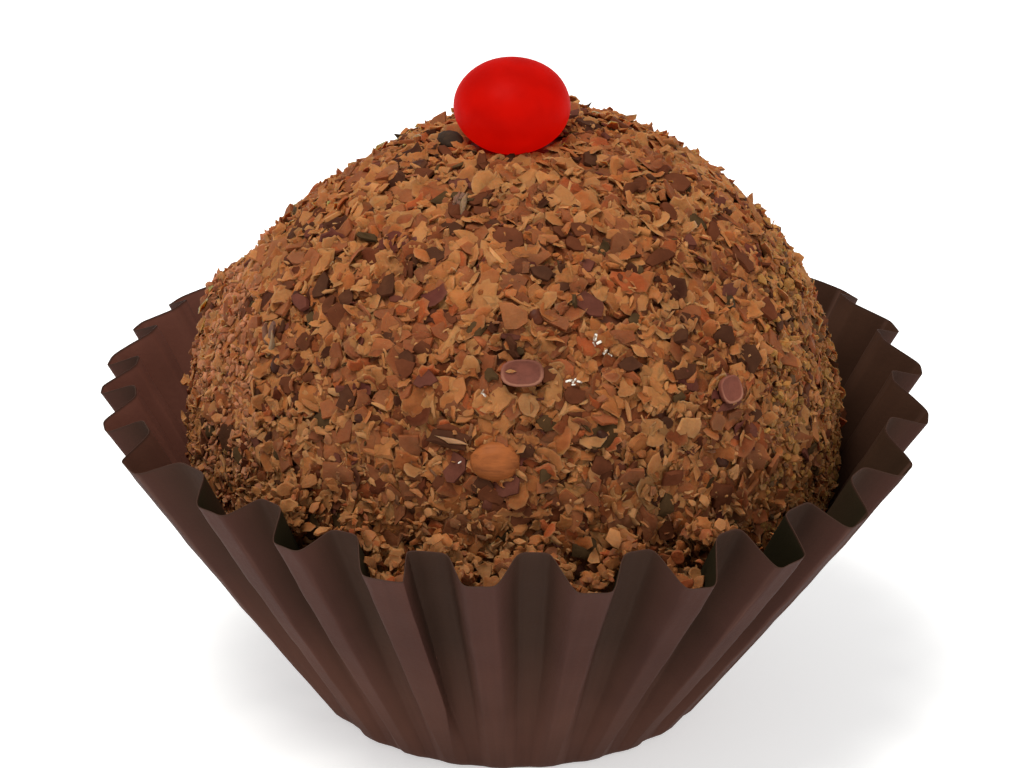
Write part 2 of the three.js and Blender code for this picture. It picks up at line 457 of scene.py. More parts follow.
@dataclass(frozen=True)
class SugarFinish:
    """The red ball's boiled sugar, with a painted glow all over that lifts its shaded side."""

    deep: Colour = srgb(80, 2, 1)
    bright: Colour = srgb(92, 3, 1)
    glow: Colour = srgb(200, 9, 1)
    glow_strength: float = 0.74

    def material(self) -> bpy.types.Material:
        """Makes the sugar's material.

        Returns:
            The finished material.
        """
        graph = FinishGraph("red_sugar_shell", {
            "Specular IOR Level": 0.015, "Coat Roughness": 0.35,
            "Emission Strength": self.glow_strength,
        })
        clouds, pits = graph.noise(1.6, 2.0), graph.noise(0.35, 3.0, 0.55)
        graph.wear("Base Color", graph.mix(clouds.ramp(0.35, 0.65), self.deep, self.bright))
        # Painted glow: an emission that flattens the ball's shading.
        graph.wear("Emission Color", graph.shade(self.glow, 0.8 + 0.4 * clouds))
        graph.wear("Roughness", 0.42 + 0.24 * pits)
        graph.wear("Coat Weight", 0.015 * clouds)
        graph.relief(0.6 * pits + 0.4 * clouds, 0.04, 0.5)
        return graph.material


@dataclass(frozen=True)
class CrystalFinish:
    """Grains of sugar, frosted white in places and clear to the chocolate in others."""

    frosted: Colour = srgb(222, 216, 204)
    clear: Colour = srgb(136, 112, 92)

    def material(self, name: str) -> bpy.types.Material:
        """Makes the crystals' material.

        Args:
            name: The name of the piece that it is for.

        Returns:
            The finished material.
        """
        graph = FinishGraph(name, {"Specular IOR Level": 0.5, "Coat Weight": 0.3})
        frost = graph.noise(0.22, 2.0)
        graph.wear("Base Color", graph.mix(frost.ramp(0.42, 0.56), self.clear, self.frosted))
        graph.wear("Roughness", 0.12 + 0.3 * frost)
        return graph.material


@dataclass(frozen=True)
class FloorFinish:
    """A plain pale floor, lit from below like a light table so that shadows on it stay faint."""

    colour: Colour = (0.8, 0.8, 0.8)
    glow: float = 0.5

    def material(self) -> bpy.types.Material:
        """Makes the floor's material.

        Returns:
            The finished material.
        """
        graph = FinishGraph("pale_floor", {
            "Specular IOR Level": 0.1, "Roughness": 0.9, "Emission Color": (1.0, 1.0, 1.0),
            "Emission Strength": self.glow,
        })
        graph.wear("Base Color", graph.shade(self.colour, 0.97 + 0.06 * graph.noise(40.0, 1.0)))
        return graph.material


# ---- Finished pieces ---------------------------------------------------------------------


def finish_piece(
    name: str,
    mesh: bpy.types.Mesh,
    material: bpy.types.Material,
    stands_for: Sequence[str],
) -> bpy.types.Object:
    """Makes an object of a mesh in metres, dresses it and puts it on its body.

    Args:
        name: The piece's name.
        mesh: The finished mesh, in metres.
        material: Its material.
        stands_for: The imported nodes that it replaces.

    Returns:
        The new object.
    """
    mesh.name = name
    mesh.materials.append(material)
    piece = bpy.data.objects.new(name, mesh)
    bpy.context.scene.collection.objects.link(piece)
    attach(piece, BODY)
    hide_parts(*stands_for)
    LOG.info("%s: %d faces", name, len(mesh.polygons))
    return piece


def mesh_from_shape(shape: bmesh.types.BMesh, sharp: float) -> bpy.types.Mesh:
    """Brings a shape to metres and makes it a smooth mesh.

    Args:
        shape: The shape, in millimetres, which is freed.
        sharp: The angle between faces, in degrees, past which an edge is left sharp.

    Returns:
        The mesh.
    """
    bmesh.ops.scale(shape, vec=Vector((MM, MM, MM)), verts=shape.verts)
    for face in shape.faces:
        face.smooth = True
    for edge in shape.edges:
        edge.smooth = edge.calc_face_angle(0.0) < math.radians(sharp)
    mesh = bpy.data.meshes.new("shape")
    shape.to_mesh(mesh)
    shape.free()
    return mesh


# ---- The paper case ----------------------------------------------------------------------


@dataclass(frozen=True)
class RimBend:
    """A stretch of the rim that has been bent by hand, fading to both sides."""

    angle: float
    spread: float
    out: float
    crest_lift: float
    fold_lift: float

    def share(self, angle: Number) -> Number:
        """How much of the bend there is at an angle."""
        around = np.mod(angle - self.angle + 180.0, 360.0) - 180.0
        return np.exp(-((around / self.spread) ** 2))


@dataclass(frozen=True)
class CaseForm:
    """The form of the pleated case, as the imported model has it."""

    first_crest: float = -4.2
    pleat_widths: tuple[float, ...] = (
        15.2, 14.3, 14.0, 14.3, 16.1, 15.7, 12.8, 12.5, 12.9,
        12.6, 12.4, 12.9, 12.3, 12.8, 12.5, 12.2, 12.9, 12.7,
        11.2, 11.1, 8.7, 10.9, 13.2, 21.5, 14.1, 14.4, 13.8,
    )
    base_flat: float = 9.3
    corner_radius: float = 10.1
    corner_z: float = 0.5
    corner_flute: float = 0.16
    rim_crest_radius: float = 21.85
    rim_fold_radius: float = 20.0
    rim_crest_z: float = 16.3
    rim_fold_z: float = 17.35
    rim_back_lift: float = 1.15
    bends: tuple[RimBend, ...] = (
        RimBend(-46.0, 24.0, -0.6, 0.7, 0.45),
        RimBend(32.0, 17.0, 0.2, -0.85, 0.0),
        RimBend(120.0, 20.0, 0.4, 0.1, 0.1),
    )
    crest_share: float = 0.25
    rim_wander: float = 0.2
    corner_ease: float = 0.2

    @property
    def pleats(self) -> int:
        """How many pleats there are."""
        return len(self.pleat_widths)

    def stray(self, pleat: Number) -> Number:
        """How far a pleat strays from the rim's even reach, from about -1 to 1."""
        turn = np.mod(pleat, self.pleats)
        return 0.8 * np.sin(0.5 * turn) + 0.35 * np.sin(2.3 * turn + 5.3)

    def crest_angle(self, pleat: Number) -> Number:
        """The middle of a pleat's crest, in degrees."""
        return self.first_crest + np.concatenate([[0.0], np.cumsum(self.pleat_widths)])[pleat]

    def locate(self, angle: Number) -> tuple[Number, Number]:
        """Finds the pleat at an angle.

        Args:
            angle: Degrees round the case.

        Returns:
            The pleat's number, and the share of the way from its crest to the next crest.
        """
        crests = self.crest_angle(np.arange(self.pleats + 1))
        wrapped = np.mod(angle - crests[0], 360.0) + crests[0]
        pleat = np.clip(np.searchsorted(crests, wrapped, side="right") - 1, 0, self.pleats - 1)
        return pleat, (wrapped - crests[pleat]) / (crests[pleat + 1] - crests[pleat])

    def crest(self, along: Number) -> Number:
        """How much of a crest there is at a share of the way to the next crest.

        Args:
            along: The share of the way, from 0 to 1.

        Returns:
            1 on the flat of a crest and 0 on the floor of a fold.
        """
        away = 2.0 * np.minimum(along, 1.0 - along)
        slope = np.clip((away - self.crest_share) / (1.0 - 2.0 * self.crest_share), 0.0, 1.0)
        return 1.0 - lerp(slope, smoothstep(0.0, 1.0, slope), self.corner_ease)

    def rounded(self, along: Number, reach: float) -> Number:
        """The crest's share, with its creases rounded over a reach of the pleat to each side."""
        steps = np.linspace(-reach, reach, 9)
        return np.mean([self.crest(np.mod(along + step, 1.0)) for step in steps], axis=0)

    def ends(self, angle: Number, crest: Number, wander: Number) -> tuple[Number, Number, Number]:
        """Where the outside of the wall starts and ends.

        Args:
            angle: Degrees round the case.
            crest: 1 on a crest, 0 in a fold.
            wander: How far the rim strays out, and as far down.

        Returns:
            The radius of the foot, the radius of the rim and the rim's height.
        """
        back = smoothstep(-0.35, 0.35, -np.cos(np.radians(angle)))
        foot = self.corner_radius + lerp(-self.corner_flute, self.corner_flute, crest)
        rim = lerp(self.rim_fold_radius, self.rim_crest_radius, crest) + wander
        rim_z = lerp(self.rim_fold_z, self.rim_crest_z, crest) + self.rim_back_lift * back - wander
        for bend in self.bends:
            share = bend.share(angle)
            rim = rim + bend.out * share
            rim_z = rim_z + lerp(bend.fold_lift, bend.crest_lift, crest) * share
        return foot, rim, rim_z

    def wander(self, pleat: Number, along: Number) -> Number:
        """How far the rim strays outwards at a share of the way along a pleat."""
        here, after = self.stray(pleat), self.stray(pleat + 1)
        return self.rim_wander * lerp(here, after, np.where(along > 0.5, self.crest(along), 0.0))

    def radius_at(self, angle: Number, height: Number) -> Number:
        """The outside radius of the wall at an angle and a height.

        Args:
            angle: Degrees round the case.
            height: Millimetres over the table.

        Returns:
            The radius, in millimetres.
        """
        pleat, along = self.locate(angle)
        crest = self.crest(along)
        foot, rim, rim_z = self.ends(angle, crest, self.wander(pleat, along))
        climb = np.clip((height - self.corner_z) / (rim_z - self.corner_z), 0.0, 1.0)
        return lerp(foot, rim, climb)


@dataclass
class PaperCase:
    """The case as one folded sheet of thin paper."""

    form: CaseForm
    paper: float = 0.045
    wall_rows: int = 28
    edge_row: float = 0.992
    base_radii: tuple[float, ...] = (0.0, 3.0, 5.5, 7.6, 8.8)
    bend_shares: tuple[float, ...] = (0.4, 0.75)
    crease_steps: tuple[float, ...] = (-0.05, -0.03, -0.012, 0.0, 0.012, 0.03, 0.05)
    crease_reach: tuple[float, float] = (0.012, 0.055)
    flat_steps: tuple[float, ...] = (
        0.0, 0.06, 0.19, 0.25, 0.31, 0.44, 0.5, 0.56, 0.69, 0.75, 0.81, 0.94,
    )
    bow: float = 0.12
    crumple: float = 0.06
    edge_nick: float = 0.06
    waver: float = 0.22
    side_sharpness: float = 0.35
    crease_highlight_reach: float = 0.013
    highlight_fade_span: tuple[float, float] = (6.0, 14.0)
    tucked_pleats: Mapping[int, float] = field(default_factory=lambda: {26: 2.0, 3: 1.4, 14: 1.9})
    finish: CasePaperFinish = CasePaperFinish()

    def _path(self) -> list[tuple[str, float]]:
        """The sheet's rows, from the middle of the base out and up to the rim.

        Returns:
            Each row's kind, and its radius on the base or its climb on the wall.
        """
        even = [row / self.wall_rows for row in range(self.wall_rows + 1)]
        climbs = sorted([*even, self.edge_row])
        return [
            *(("base", radius) for radius in (*self.base_radii, self.form.base_flat)),
            *(("bend", share) for share in self.bend_shares),
            *(("wall", climb) for climb in climbs),
        ]

    def _creases(self) -> tuple[float, ...]:
        """Where the four creases of a pleat lie, as shares of the way to the next crest."""
        half = self.form.crest_share / 2.0
        return half, 0.5 - half, 0.5 + half, 1.0 - half

    def _columns(self) -> tuple[np.ndarray, np.ndarray]:
        """The sheet's columns, which lie close together at the creases.

        Returns:
            Each column's pleat, and its share of the way to the next crest.
        """
        near = [crease + step for crease in self._creases() for step in self.crease_steps]
        along = np.array(sorted({*self.flat_steps, *near}))
        pleat = np.repeat(np.arange(self.form.pleats), len(along))
        return pleat, np.tile(along, self.form.pleats)

    def _sideways(self, pleat: Number, along: Number, crest: Number) -> Number:
        """Degrees by which a pleat's sides are pressed together into sharper folds.

        Args:
            pleat: The pleat's number.
            along: The share of the way to the next crest.
            crest: 1 on a crest, 0 in a fold.

        Returns:
            Degrees, towards the next crest.
        """
        tucks = np.full(self.form.pleats, self.side_sharpness)
        for number, tuck in self.tucked_pleats.items():
            tucks[number] = tuck
        away = 2.0 * np.minimum(along, 1.0 - along)
        share = self.form.crest_share
        reach = smoothstep(0.0, share, away) * smoothstep(1.0, 1.0 - share, away)
        towards = np.where(along < 0.5, 1.0, -1.0)
        press = np.where(along < 0.5, tucks[pleat], self.side_sharpness)
        return press * towards * reach * (2.0 * crest - 1.0)

    def _crumples(self, turn: Number, height: Number) -> Number:
        """The paper's small unevenness.

        Args:
            turn: Radians round the case.
            height: Millimetres over the table.

        Returns:
            A value from about -1 to 1.
        """
        broad = np.sin(11.0 * turn + 1.1 * height) * np.sin(17.0 * turn - 0.7 * height + 2.0)
        small = np.sin(29.0 * turn + 0.9 * height + 1.0) * np.sin(5.0 * turn + 2.3 * height)
        fine = np.sin(67.0 * turn - 1.9 * height) * np.sin(43.0 * turn + 2.7 * height + 0.5)
        return (broad + 0.7 * small + 0.35 * fine) / 2.05

    def _sheet(self, pleat: np.ndarray, along: np.ndarray) -> tuple[np.ndarray, np.ndarray]:
        """The outside of the sheet.

        Args:
            pleat: Each column's pleat.
            along: Each column's share of the way to the next crest.

        Returns:
            The places, by row and column, and each column's crest share.
        """
        form = self.form
        even = lerp(form.crest_angle(pleat), form.crest_angle(pleat + 1), along)
        crest = form.crest(along)
        turn, press = np.radians(even), self._sideways(pleat, along, crest)
        rows = []
        for kind, value in self._path():
            climb = value if kind == "wall" else 0.0
            round_crest = form.rounded(along, lerp(*self.crease_reach, climb**2))
            foot, rim, rim_z = form.ends(even, round_crest, form.wander(pleat, along))
            waver = self.waver * np.sin(5.0 * climb + 1.7 * pleat) * smoothstep(0.1, 0.5, climb)
            angle = np.radians(even + press * smoothstep(0.0, 0.35, climb) + waver)
            radius, height = lerp(foot, rim, climb), lerp(form.corner_z, rim_z, climb)
            radius = radius + self.bow * np.sin(np.pi * climb)
            crumples = self.crumple * self._crumples(turn, height)
            radius = radius + crumples * smoothstep(0.0, 0.3, climb)
            height = height + self.edge_nick * np.sin(9.0 * turn) * np.sin(41.0 * turn) * climb**4
            if kind == "base":
                radius, height = np.full_like(even, value), np.zeros_like(even)
            elif kind == "bend":
                radius, height = lerp(form.base_flat, radius, value), height * value**2
            rows.append(np.stack([radius * np.sin(angle), -radius * np.cos(angle), height], axis=1))
        return np.array(rows), crest

    def _inward(self, places: np.ndarray) -> np.ndarray:
        """Finds the way into the case, square to the sheet.

        Args:
            places: The sheet's places, by row and column.

        Returns:
            A unit vector for each place.
        """
        outward = np.gradient(places, axis=0)
        around = np.roll(places, -1, axis=1) - np.roll(places, 1, axis=1)
        square = np.cross(outward, around)
        square[0] = (0.0, 0.0, 1.0)
        return square / np.linalg.norm(square, axis=2, keepdims=True)

    def build(self) -> bpy.types.Object:
        """Makes the case.

        Returns:
            The paper case.
        """
        pleat, along = self._columns()
        outside, crest = self._sheet(pleat, along)
        inside = outside + self.paper * self._inward(outside)
        path = self._path()
        rows, columns = len(path), len(along)
        shape = bmesh.new()
        names = ("crest", "climb", "inside", "edge", "crease")
        layers = {name: shape.verts.layers.float.new(name) for name in names}
        # A profile with one vertex to a row, up the outside and down the inside, is spun into a
        # closed sheet. Each vertex then knows its row and column, and goes to its own place.
        line = [shape.verts.new((0.0 if row % (2 * rows - 1) == 0 else 1.0, 0.0, float(row)))
                for row in range(2 * rows)]
        edges = [shape.edges.new(pair) for pair in zip(line, line[1:])]
        bmesh.ops.spin(
            shape, geom=[*line, *edges], cent=(0, 0, 0), axis=(0, 0, 1), steps=columns,
            angle=2.0 * math.pi, use_merge=True,
        )
        bmesh.ops.remove_doubles(shape, verts=shape.verts, dist=1e-5)
        creases = self._creases()
        for vert in shape.verts:
            row = round(vert.co.z)
            column = round(math.atan2(vert.co.y, vert.co.x) / (2.0 * math.pi) * columns) % columns
            inner = row >= rows
            row = 2 * rows - 1 - row if inner else row
            kind, value = path[row]
            near = min(abs(along[column] - creases[0]), abs(along[column] - creases[3]))
            vert.co = (inside if inner else outside)[row, column]
            vert[layers["crest"]] = float(crest[column])
            vert[layers["climb"]] = value if kind == "wall" else 0.0
            vert[layers["inside"]] = 1.0 if inner else 0.0
            vert[layers["edge"]] = 1.0 if row == rows - 1 else 0.0
            # The crease attribute marks where the paper's painted highlight goes, fading out near x
            # = 0.
            off_front = float(smoothstep(*self.highlight_fade_span, abs(vert.co.x)))
            vert[layers["crease"]] = off_front if near < self.crease_highlight_reach else 0.0
        bmesh.ops.recalc_face_normals(shape, faces=shape.faces)
        mesh = mesh_from_shape(shape, PAPER_CREASE)
        return finish_piece("folded_paper_case", mesh, self.finish.material(),
                            ["paper_case"])


# ---- The ball of fudge -------------------------------------------------------------------


@dataclass(frozen=True)
class Swell:
    """A soft bump on the ball, or a dip where its height is negative."""

    towards: tuple[float, float, float]
    height: float
    spread: float

    def lift(self, direction: np.ndarray) -> np.ndarray:
        """How far it lifts the fudge in each direction."""
        narrow = 1.0 - math.cos(math.radians(self.spread))
        return self.height * np.exp((direction @ np.array(self.towards) - 1.0) / narrow)


@dataclass(frozen=True)
class BallForm:
    """The form of the ball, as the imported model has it, and the red ball's place on it."""

    middle_z: float = 15.3
    core_radius: float = 16.9
    dent: float = 1.05
    dent_direction: tuple[float, float, float] = (-0.59, 0.33, 0.74)
    dent_spread: float = 27.0
    crown_dip: float = 0.55
    crown_spread: float = 20.0
    swells: tuple[Swell, ...] = (
        Swell((-0.905, 0.173, 0.388), 0.95, 5.5), Swell((-0.829, 0.227, 0.512), -0.35, 4.0),
        Swell((-0.974, 0.1, 0.201), 0.25, 8.0), Swell((-0.454, 0.363, 0.814), -0.4, 9.0),
        Swell((0.616, 0.32, 0.72), -0.15, 16.0),
    )
    sag: float = 0.3
    bump: float = 0.22
    red_width: float = 6.06
    red_height: float = 4.9
    red_middle_z: float = 33.55

    def reach(self, direction: np.ndarray) -> np.ndarray:
        """How far the fudge reaches from the ball's middle.

        Args:
            direction: Unit vectors, one to a row.

        Returns:
            The distance in each direction.
        """
        x, y, z = direction.T
        middle = np.array(self.dent_direction) / np.linalg.norm(self.dent_direction)
        away = np.degrees(np.arccos(np.clip(direction @ middle, -1.0, 1.0)))
        dent = self.dent * np.exp(-((away / self.dent_spread) ** 2))
        wave = np.sin(2.1 * x + 0.3) + np.sin(2.7 * y - 0.6) + np.sin(3.1 * z + 0.6 * x - 1.0)
        wave = wave / 3.0
        from_top = np.degrees(np.arccos(np.clip(z, -1.0, 1.0)))
        crown = self.crown_dip * np.exp(-((from_top / self.crown_spread) ** 2))
        swell = sum(swell.lift(direction) for swell in self.swells)
        return self.core_radius - dent - crown + swell + self.sag * wave

    def above(self, points: np.ndarray) -> np.ndarray:
        """How far points stand above the fudge.

        Args:
            points: Places, one to a row.

        Returns:
            Millimetres, for each point.
        """
        away = points - (0.0, 0.0, self.middle_z)
        distance = np.linalg.norm(away, axis=1)
        return distance - self.reach(away / distance[:, None])

    def lumps(self, direction: np.ndarray) -> np.ndarray:
        """The small relief of the bare fudge.

        Args:
            direction: Unit vectors, one to a row.

        Returns:
            Millimetres outwards, for each direction.
        """
        x, y, z = direction.T
        first = np.sin(13 * x + 4 * y + 1) * np.sin(12 * y - 5 * z + 2)
        second = np.sin(14 * z + 6 * x) * np.sin(11 * x - 9 * y + 3)
        return self.bump * (first + second) / 1.4

    def inside_red(self, points: np.ndarray, margin: float) -> np.ndarray:
        """Whether points are within a margin of the red ball.

        Args:
            points: Places, one to a row.
            margin: Millimetres round the red ball.

        Returns:
            True for each point that is.
        """
        level = np.hypot(points[:, 0], points[:, 1]) / (self.red_width / 2.0 + margin)
        rise = (points[:, 2] - self.red_middle_z) / (self.red_height / 2.0 + margin)
        return level**2 + rise**2 < 1.0


@dataclass
class FudgeBall:
    """The fudge under the flakes."""

    form: BallForm
    case: CaseForm
    sink: float = 0.22
    wall_gap: float = 0.45
    floor_gap: float = 0.2
    paper_room: float = 0.14
    hollow_gap: float = 0.1
    fineness: int = 6
    finish: FudgeFinish = FudgeFinish()

    def place(self, direction: np.ndarray, lift: Number, gap: float) -> np.ndarray:
        """Places on or over the fudge, kept off the case's even wall.

        Args:
            direction: Unit vectors from the ball's middle, one to a row.
            lift: Millimetres outwards from the fudge.
            gap: The least distance to the outside of the even wall, where a tucked pleat or a
                crumple can come closer.

        Returns:
            The places, one to a row.
        """
        points = direction * (self.form.reach(direction) + lift)[:, None]
        lowest = self.floor_gap + self.paper_room
        points[:, 2] = np.maximum(points[:, 2] + self.form.middle_z, lowest)
        level = np.hypot(points[:, 0], points[:, 1])
        angle = np.degrees(np.arctan2(points[:, 0], -points[:, 1]))
        room = self.case.radius_at(angle, points[:, 2]) - gap
        squeeze = np.minimum(1.0, room / np.maximum(level, 1e-6))
        points[:, :2] *= squeeze[:, None]
        return points

    def build(self) -> bpy.types.Object:
        """Makes the fudge, with a hollow under the red ball.

        Returns:
            The ball of fudge.
        """
        shape = bmesh.new()
        bmesh.ops.create_icosphere(shape, subdivisions=self.fineness, radius=1.0)
        direction = np.array([vert.co.normalized() for vert in shape.verts])
        lift = self.form.lumps(direction) - self.sink
        places = self.place(direction, lift, self.wall_gap + self.paper_room)
        hollow = self.form.inside_red(places, self.hollow_gap)
        places[hollow] = self._under_red(places[hollow])
        for vert, place in zip(shape.verts, places):
            vert.co = place
        mesh = mesh_from_shape(shape, NO_CREASE)
        return finish_piece("fudge_ball", mesh, self.finish.material(),
                            ["flaked_ball"])

    def _under_red(self, points: np.ndarray) -> np.ndarray:
        """Drops points onto the floor of the red ball's hollow.

        Args:
            points: Places inside the hollow, one to a row.

        Returns:
            The dropped points.
        """
        dropped = points.copy()
        radius = self.form.red_width / 2.0 + self.hollow_gap
        height = self.form.red_height / 2.0 + self.hollow_gap
        level = np.hypot(points[:, 0], points[:, 1]) / radius
        dropped[:, 2] = self.form.red_middle_z - height * np.sqrt(np.maximum(0.0, 1.0 - level**2))
        return dropped


# ---- The flakes --------------------------------------------------------------------------


class ChipKind(Enum):
    """The kinds of broken chocolate in the coat."""

    SHARD = "shard"
    PETAL = "petal"
    CRUMB = "crumb"
    SPLINTER = "splinter"
    CURL = "curl"
    NIB = "nib"
    BUTTON = "button"
    CRYSTAL = "crystal"


FLAT_KINDS = (ChipKind.SHARD, ChipKind.PETAL)
GRAINY_KINDS = (ChipKind.CRUMB, ChipKind.SHARD)
FINE_KINDS = (ChipKind.CRUMB, ChipKind.SPLINTER)
SHRED_KINDS = (ChipKind.SPLINTER, ChipKind.SHARD, ChipKind.SPLINTER)


@dataclass(frozen=True)
class Chip:
    """One pattern chip, about 1 mm wide, that is copied many times."""

    points: np.ndarray
    triangles: np.ndarray
    edge: np.ndarray


class ChipMaker:
    """Breaks pattern chips of each kind."""

    def __init__(self, seed: int) -> None:
        """Starts the maker's own random draws."""
        self.random = np.random.default_rng(seed)

    def several(self, kind: ChipKind, count: int) -> list[Chip]:
        """Makes pattern chips.

        Args:
            kind: Their kind.
            count: How many different ones are made.

        Returns:
            The chips.
        """
        makers: dict[ChipKind, Callable[[], bmesh.types.BMesh]] = {
            ChipKind.SHARD: self._shard,
            ChipKind.PETAL: self._petal,
            ChipKind.CRUMB: self._crumb,
            ChipKind.SPLINTER: self._splinter,
            ChipKind.CURL: self._curl,
            ChipKind.NIB: self._nib,
            ChipKind.BUTTON: self._button,
            ChipKind.CRYSTAL: self._crystal,
        }
        return [self._read(makers[kind]()) for _ in range(count)]

    def _read(self, shape: bmesh.types.BMesh) -> Chip:
        """Reads a shape into arrays and frees it.

        Args:
            shape: The shape.

        Returns:
            The pattern chip.
        """
        bmesh.ops.recalc_face_normals(shape, faces=shape.faces)
        bmesh.ops.triangulate(shape, faces=shape.faces)
        shape.verts.index_update()
        layer = shape.verts.layers.float.get("edge")
        points = np.array([tuple(vert.co) for vert in shape.verts])
        triangles = np.array([[vert.index for vert in face.verts] for face in shape.faces])
        edge = np.array([vert[layer] if layer else 0.0 for vert in shape.verts])
        shape.free()
        return Chip(points, triangles, edge)

    def _grow(
        self, shape: bmesh.types.BMesh, face: bmesh.types.BMFace, rise: float, share: float
    ) -> bmesh.types.BMFace:
        """Extrudes a face upwards and shrinks it towards its middle.

        Args:
            shape: The shape that holds the face.
            face: The face.
            rise: How far it moves up.
            share: Its new size over its old size.

        Returns:
            The face in its new place.
        """
        grown = bmesh.ops.extrude_face_region(shape, geom=[face, *face.edges])["geom"]
        verts = [part for part in grown if isinstance(part, bmesh.types.BMVert)]
        middle = sum((vert.co for vert in verts), Vector()) / len(verts)
        for vert in verts:
            vert.co = middle + (vert.co - middle) * share + Vector((0.0, 0.0, rise))
        return next(part for part in grown if isinstance(part, bmesh.types.BMFace))

    def _plate(self, corners: int, stretch: float, thick: float) -> bmesh.types.BMesh:
        """A thin broken plate with a ragged outline and a wavy, slightly crowned face.

        Args:
            corners: How many corners it has.
            stretch: Its width over its length.
            thick: The thickness of its edge.

        Returns:
            The plate, lying flat.
        """
        draw = self.random
        shape = bmesh.new()
        layer = shape.verts.layers.float.new("edge")
        bmesh.ops.create_circle(shape, cap_ends=True, segments=corners, radius=0.5)
        phase = draw.uniform(0.0, 2.0 * math.pi)
        for vert in shape.verts:
            turn = math.atan2(vert.co.y, vert.co.x) + draw.uniform(-0.2, 0.2)
            reach = 0.5 * (0.86 + 0.14 * math.sin(2.0 * turn + phase) + draw.uniform(-0.3, 0.16))
            vert.co = (reach * math.cos(turn), stretch * reach * math.sin(turn), 0.0)
        lid = self._grow(shape, shape.faces[:][0], thick, 0.96)
        for vert in lid.verts:
            vert[layer] = 1.0
        lid = self._grow(shape, lid, draw.uniform(0.0, 0.05), 0.6)
        bmesh.ops.poke(shape, faces=[lid], offset=draw.uniform(-0.04, 0.04))
        bend, twist = draw.uniform(-0.9, 0.8), draw.uniform(-0.6, 0.6)
        ripple, way = draw.uniform(0.0, 0.05), draw.uniform(0.0, 2.0 * math.pi)
        for vert in shape.verts:
            x, y = vert.co.x, vert.co.y
            vert.co.z += bend * x * x + twist * x * y
            vert.co.z += ripple * math.sin(9.0 * (x * math.cos(way) + y * math.sin(way)))
            vert.co.z += draw.uniform(-0.018, 0.018)
        return shape

    def _shard(self) -> bmesh.types.BMesh:
        """A flat broken flake.

        Returns:
            The shape.
        """
        draw = self.random
        corners = int(draw.integers(6, 10))
        return self._plate(corners, draw.uniform(0.55, 1.0), draw.uniform(0.06, 0.15))

    def _petal(self) -> bmesh.types.BMesh:
        """A thin torn flake, curved like a petal, which runs out to a fine edge.

        Returns:
            The shape.
        """
        draw = self.random
        shape = bmesh.new()
        layer = shape.verts.layers.float.new("edge")
        corners, depth = int(draw.integers(11, 15)), draw.uniform(0.06, 0.13)
        bmesh.ops.create_cone(
            shape, cap_ends=True, segments=corners, radius1=0.5, radius2=0.38, depth=depth,
        )
        tears = draw.uniform(0.7, 1.14, corners) * np.where(draw.random(corners) < 0.16, 0.62, 1.0)
        stretch, phase = draw.uniform(0.55, 1.0), draw.uniform(0.0, 2.0 * math.pi)
        for vert in shape.verts:
            turn = math.atan2(vert.co.y, vert.co.x)
            tear = tears[round(turn / (2.0 * math.pi) * corners) % corners]
            vert[layer] = 1.0 if vert.co.z < 0.0 else 0.0
            reach = lerp(tear, 1.0, 0.35 * (1.0 - vert[layer]))
            reach *= 1.0 + 0.12 * math.sin(2.0 * turn + phase)
            vert.co.x *= reach
            vert.co.y *= reach * stretch
        lid = max(shape.faces, key=lambda face: face.calc_center_median().z)
        bmesh.ops.poke(shape, faces=[lid], offset=draw.uniform(-0.03, 0.05))
        bend, cup, twist = draw.uniform(-1.1, 0.7), draw.uniform(-0.3, 0.4), draw.uniform(-0.7, 0.7)
        way = draw.uniform(0.0, 2.0 * math.pi)
        for vert in shape.verts:
            x, y = vert.co.x, vert.co.y
            across = x * math.cos(way) + y * math.sin(way)
            curl = 3.0 * max(0.0, across - 0.2) ** 2
            vert.co.z += bend * across * across + cup * (x * x + y * y) + twist * x * y + curl
            vert.co.z += draw.uniform(-0.03, 0.03)
        return shape

    def _splinter(self) -> bmesh.types.BMesh:
        """A long narrow flake.

        Returns:
            The shape.
        """
        draw = self.random
        corners = int(draw.integers(5, 8))
        return self._plate(corners, draw.uniform(0.2, 0.4), draw.uniform(0.06, 0.12))

    def _button(self) -> bmesh.types.BMesh:
        """A thick rounded nib with a painted highlight on the rim round its hollow face, strongest
        on the lower side.

        Returns:
            The shape.
        """
        shape = bmesh.new()
        layer = shape.verts.layers.float.new("edge")
        bmesh.ops.create_circle(shape, cap_ends=True, segments=20, radius=0.44)
        face = shape.faces[:][0]
        steps = ((0.1, 1.12, 0.0), (0.08, 1.0, 0.3), (0.02, 0.9, 0.9), (-0.03, 0.9, 0.0))
        for rise, share, pale in steps:
            face = self._grow(shape, face, rise, share)
            for vert in face.verts:
                vert[layer] = pale
        bmesh.ops.poke(shape, faces=[face], offset=-0.01)
        for vert in shape.verts:
            # Painted highlight on the rim, strongest on the lower side.
            vert[layer] *= min(1.0, max(0.15, 0.5 - 1.8 * vert.co.y))
            turn = math.atan2(vert.co.y, vert.co.x)
            vert.co.xy *= 1.0 + 0.1 * abs(math.sin(2.0 * turn)) ** 2
        return shape

    def _crumb(self) -> bmesh.types.BMesh:
        """A small angular crumb.

        Returns:
            The shape.
        """
        draw = self.random
        shape = bmesh.new()
        bmesh.ops.create_icosphere(shape, subdivisions=1, radius=0.5)
        for vert in shape.verts:
            vert.co *= draw.uniform(0.68, 1.1)
        stretch = (1.0, draw.uniform(0.6, 1.0), draw.uniform(0.45, 0.8))
        bmesh.ops.scale(shape, vec=stretch, verts=shape.verts)
        return shape

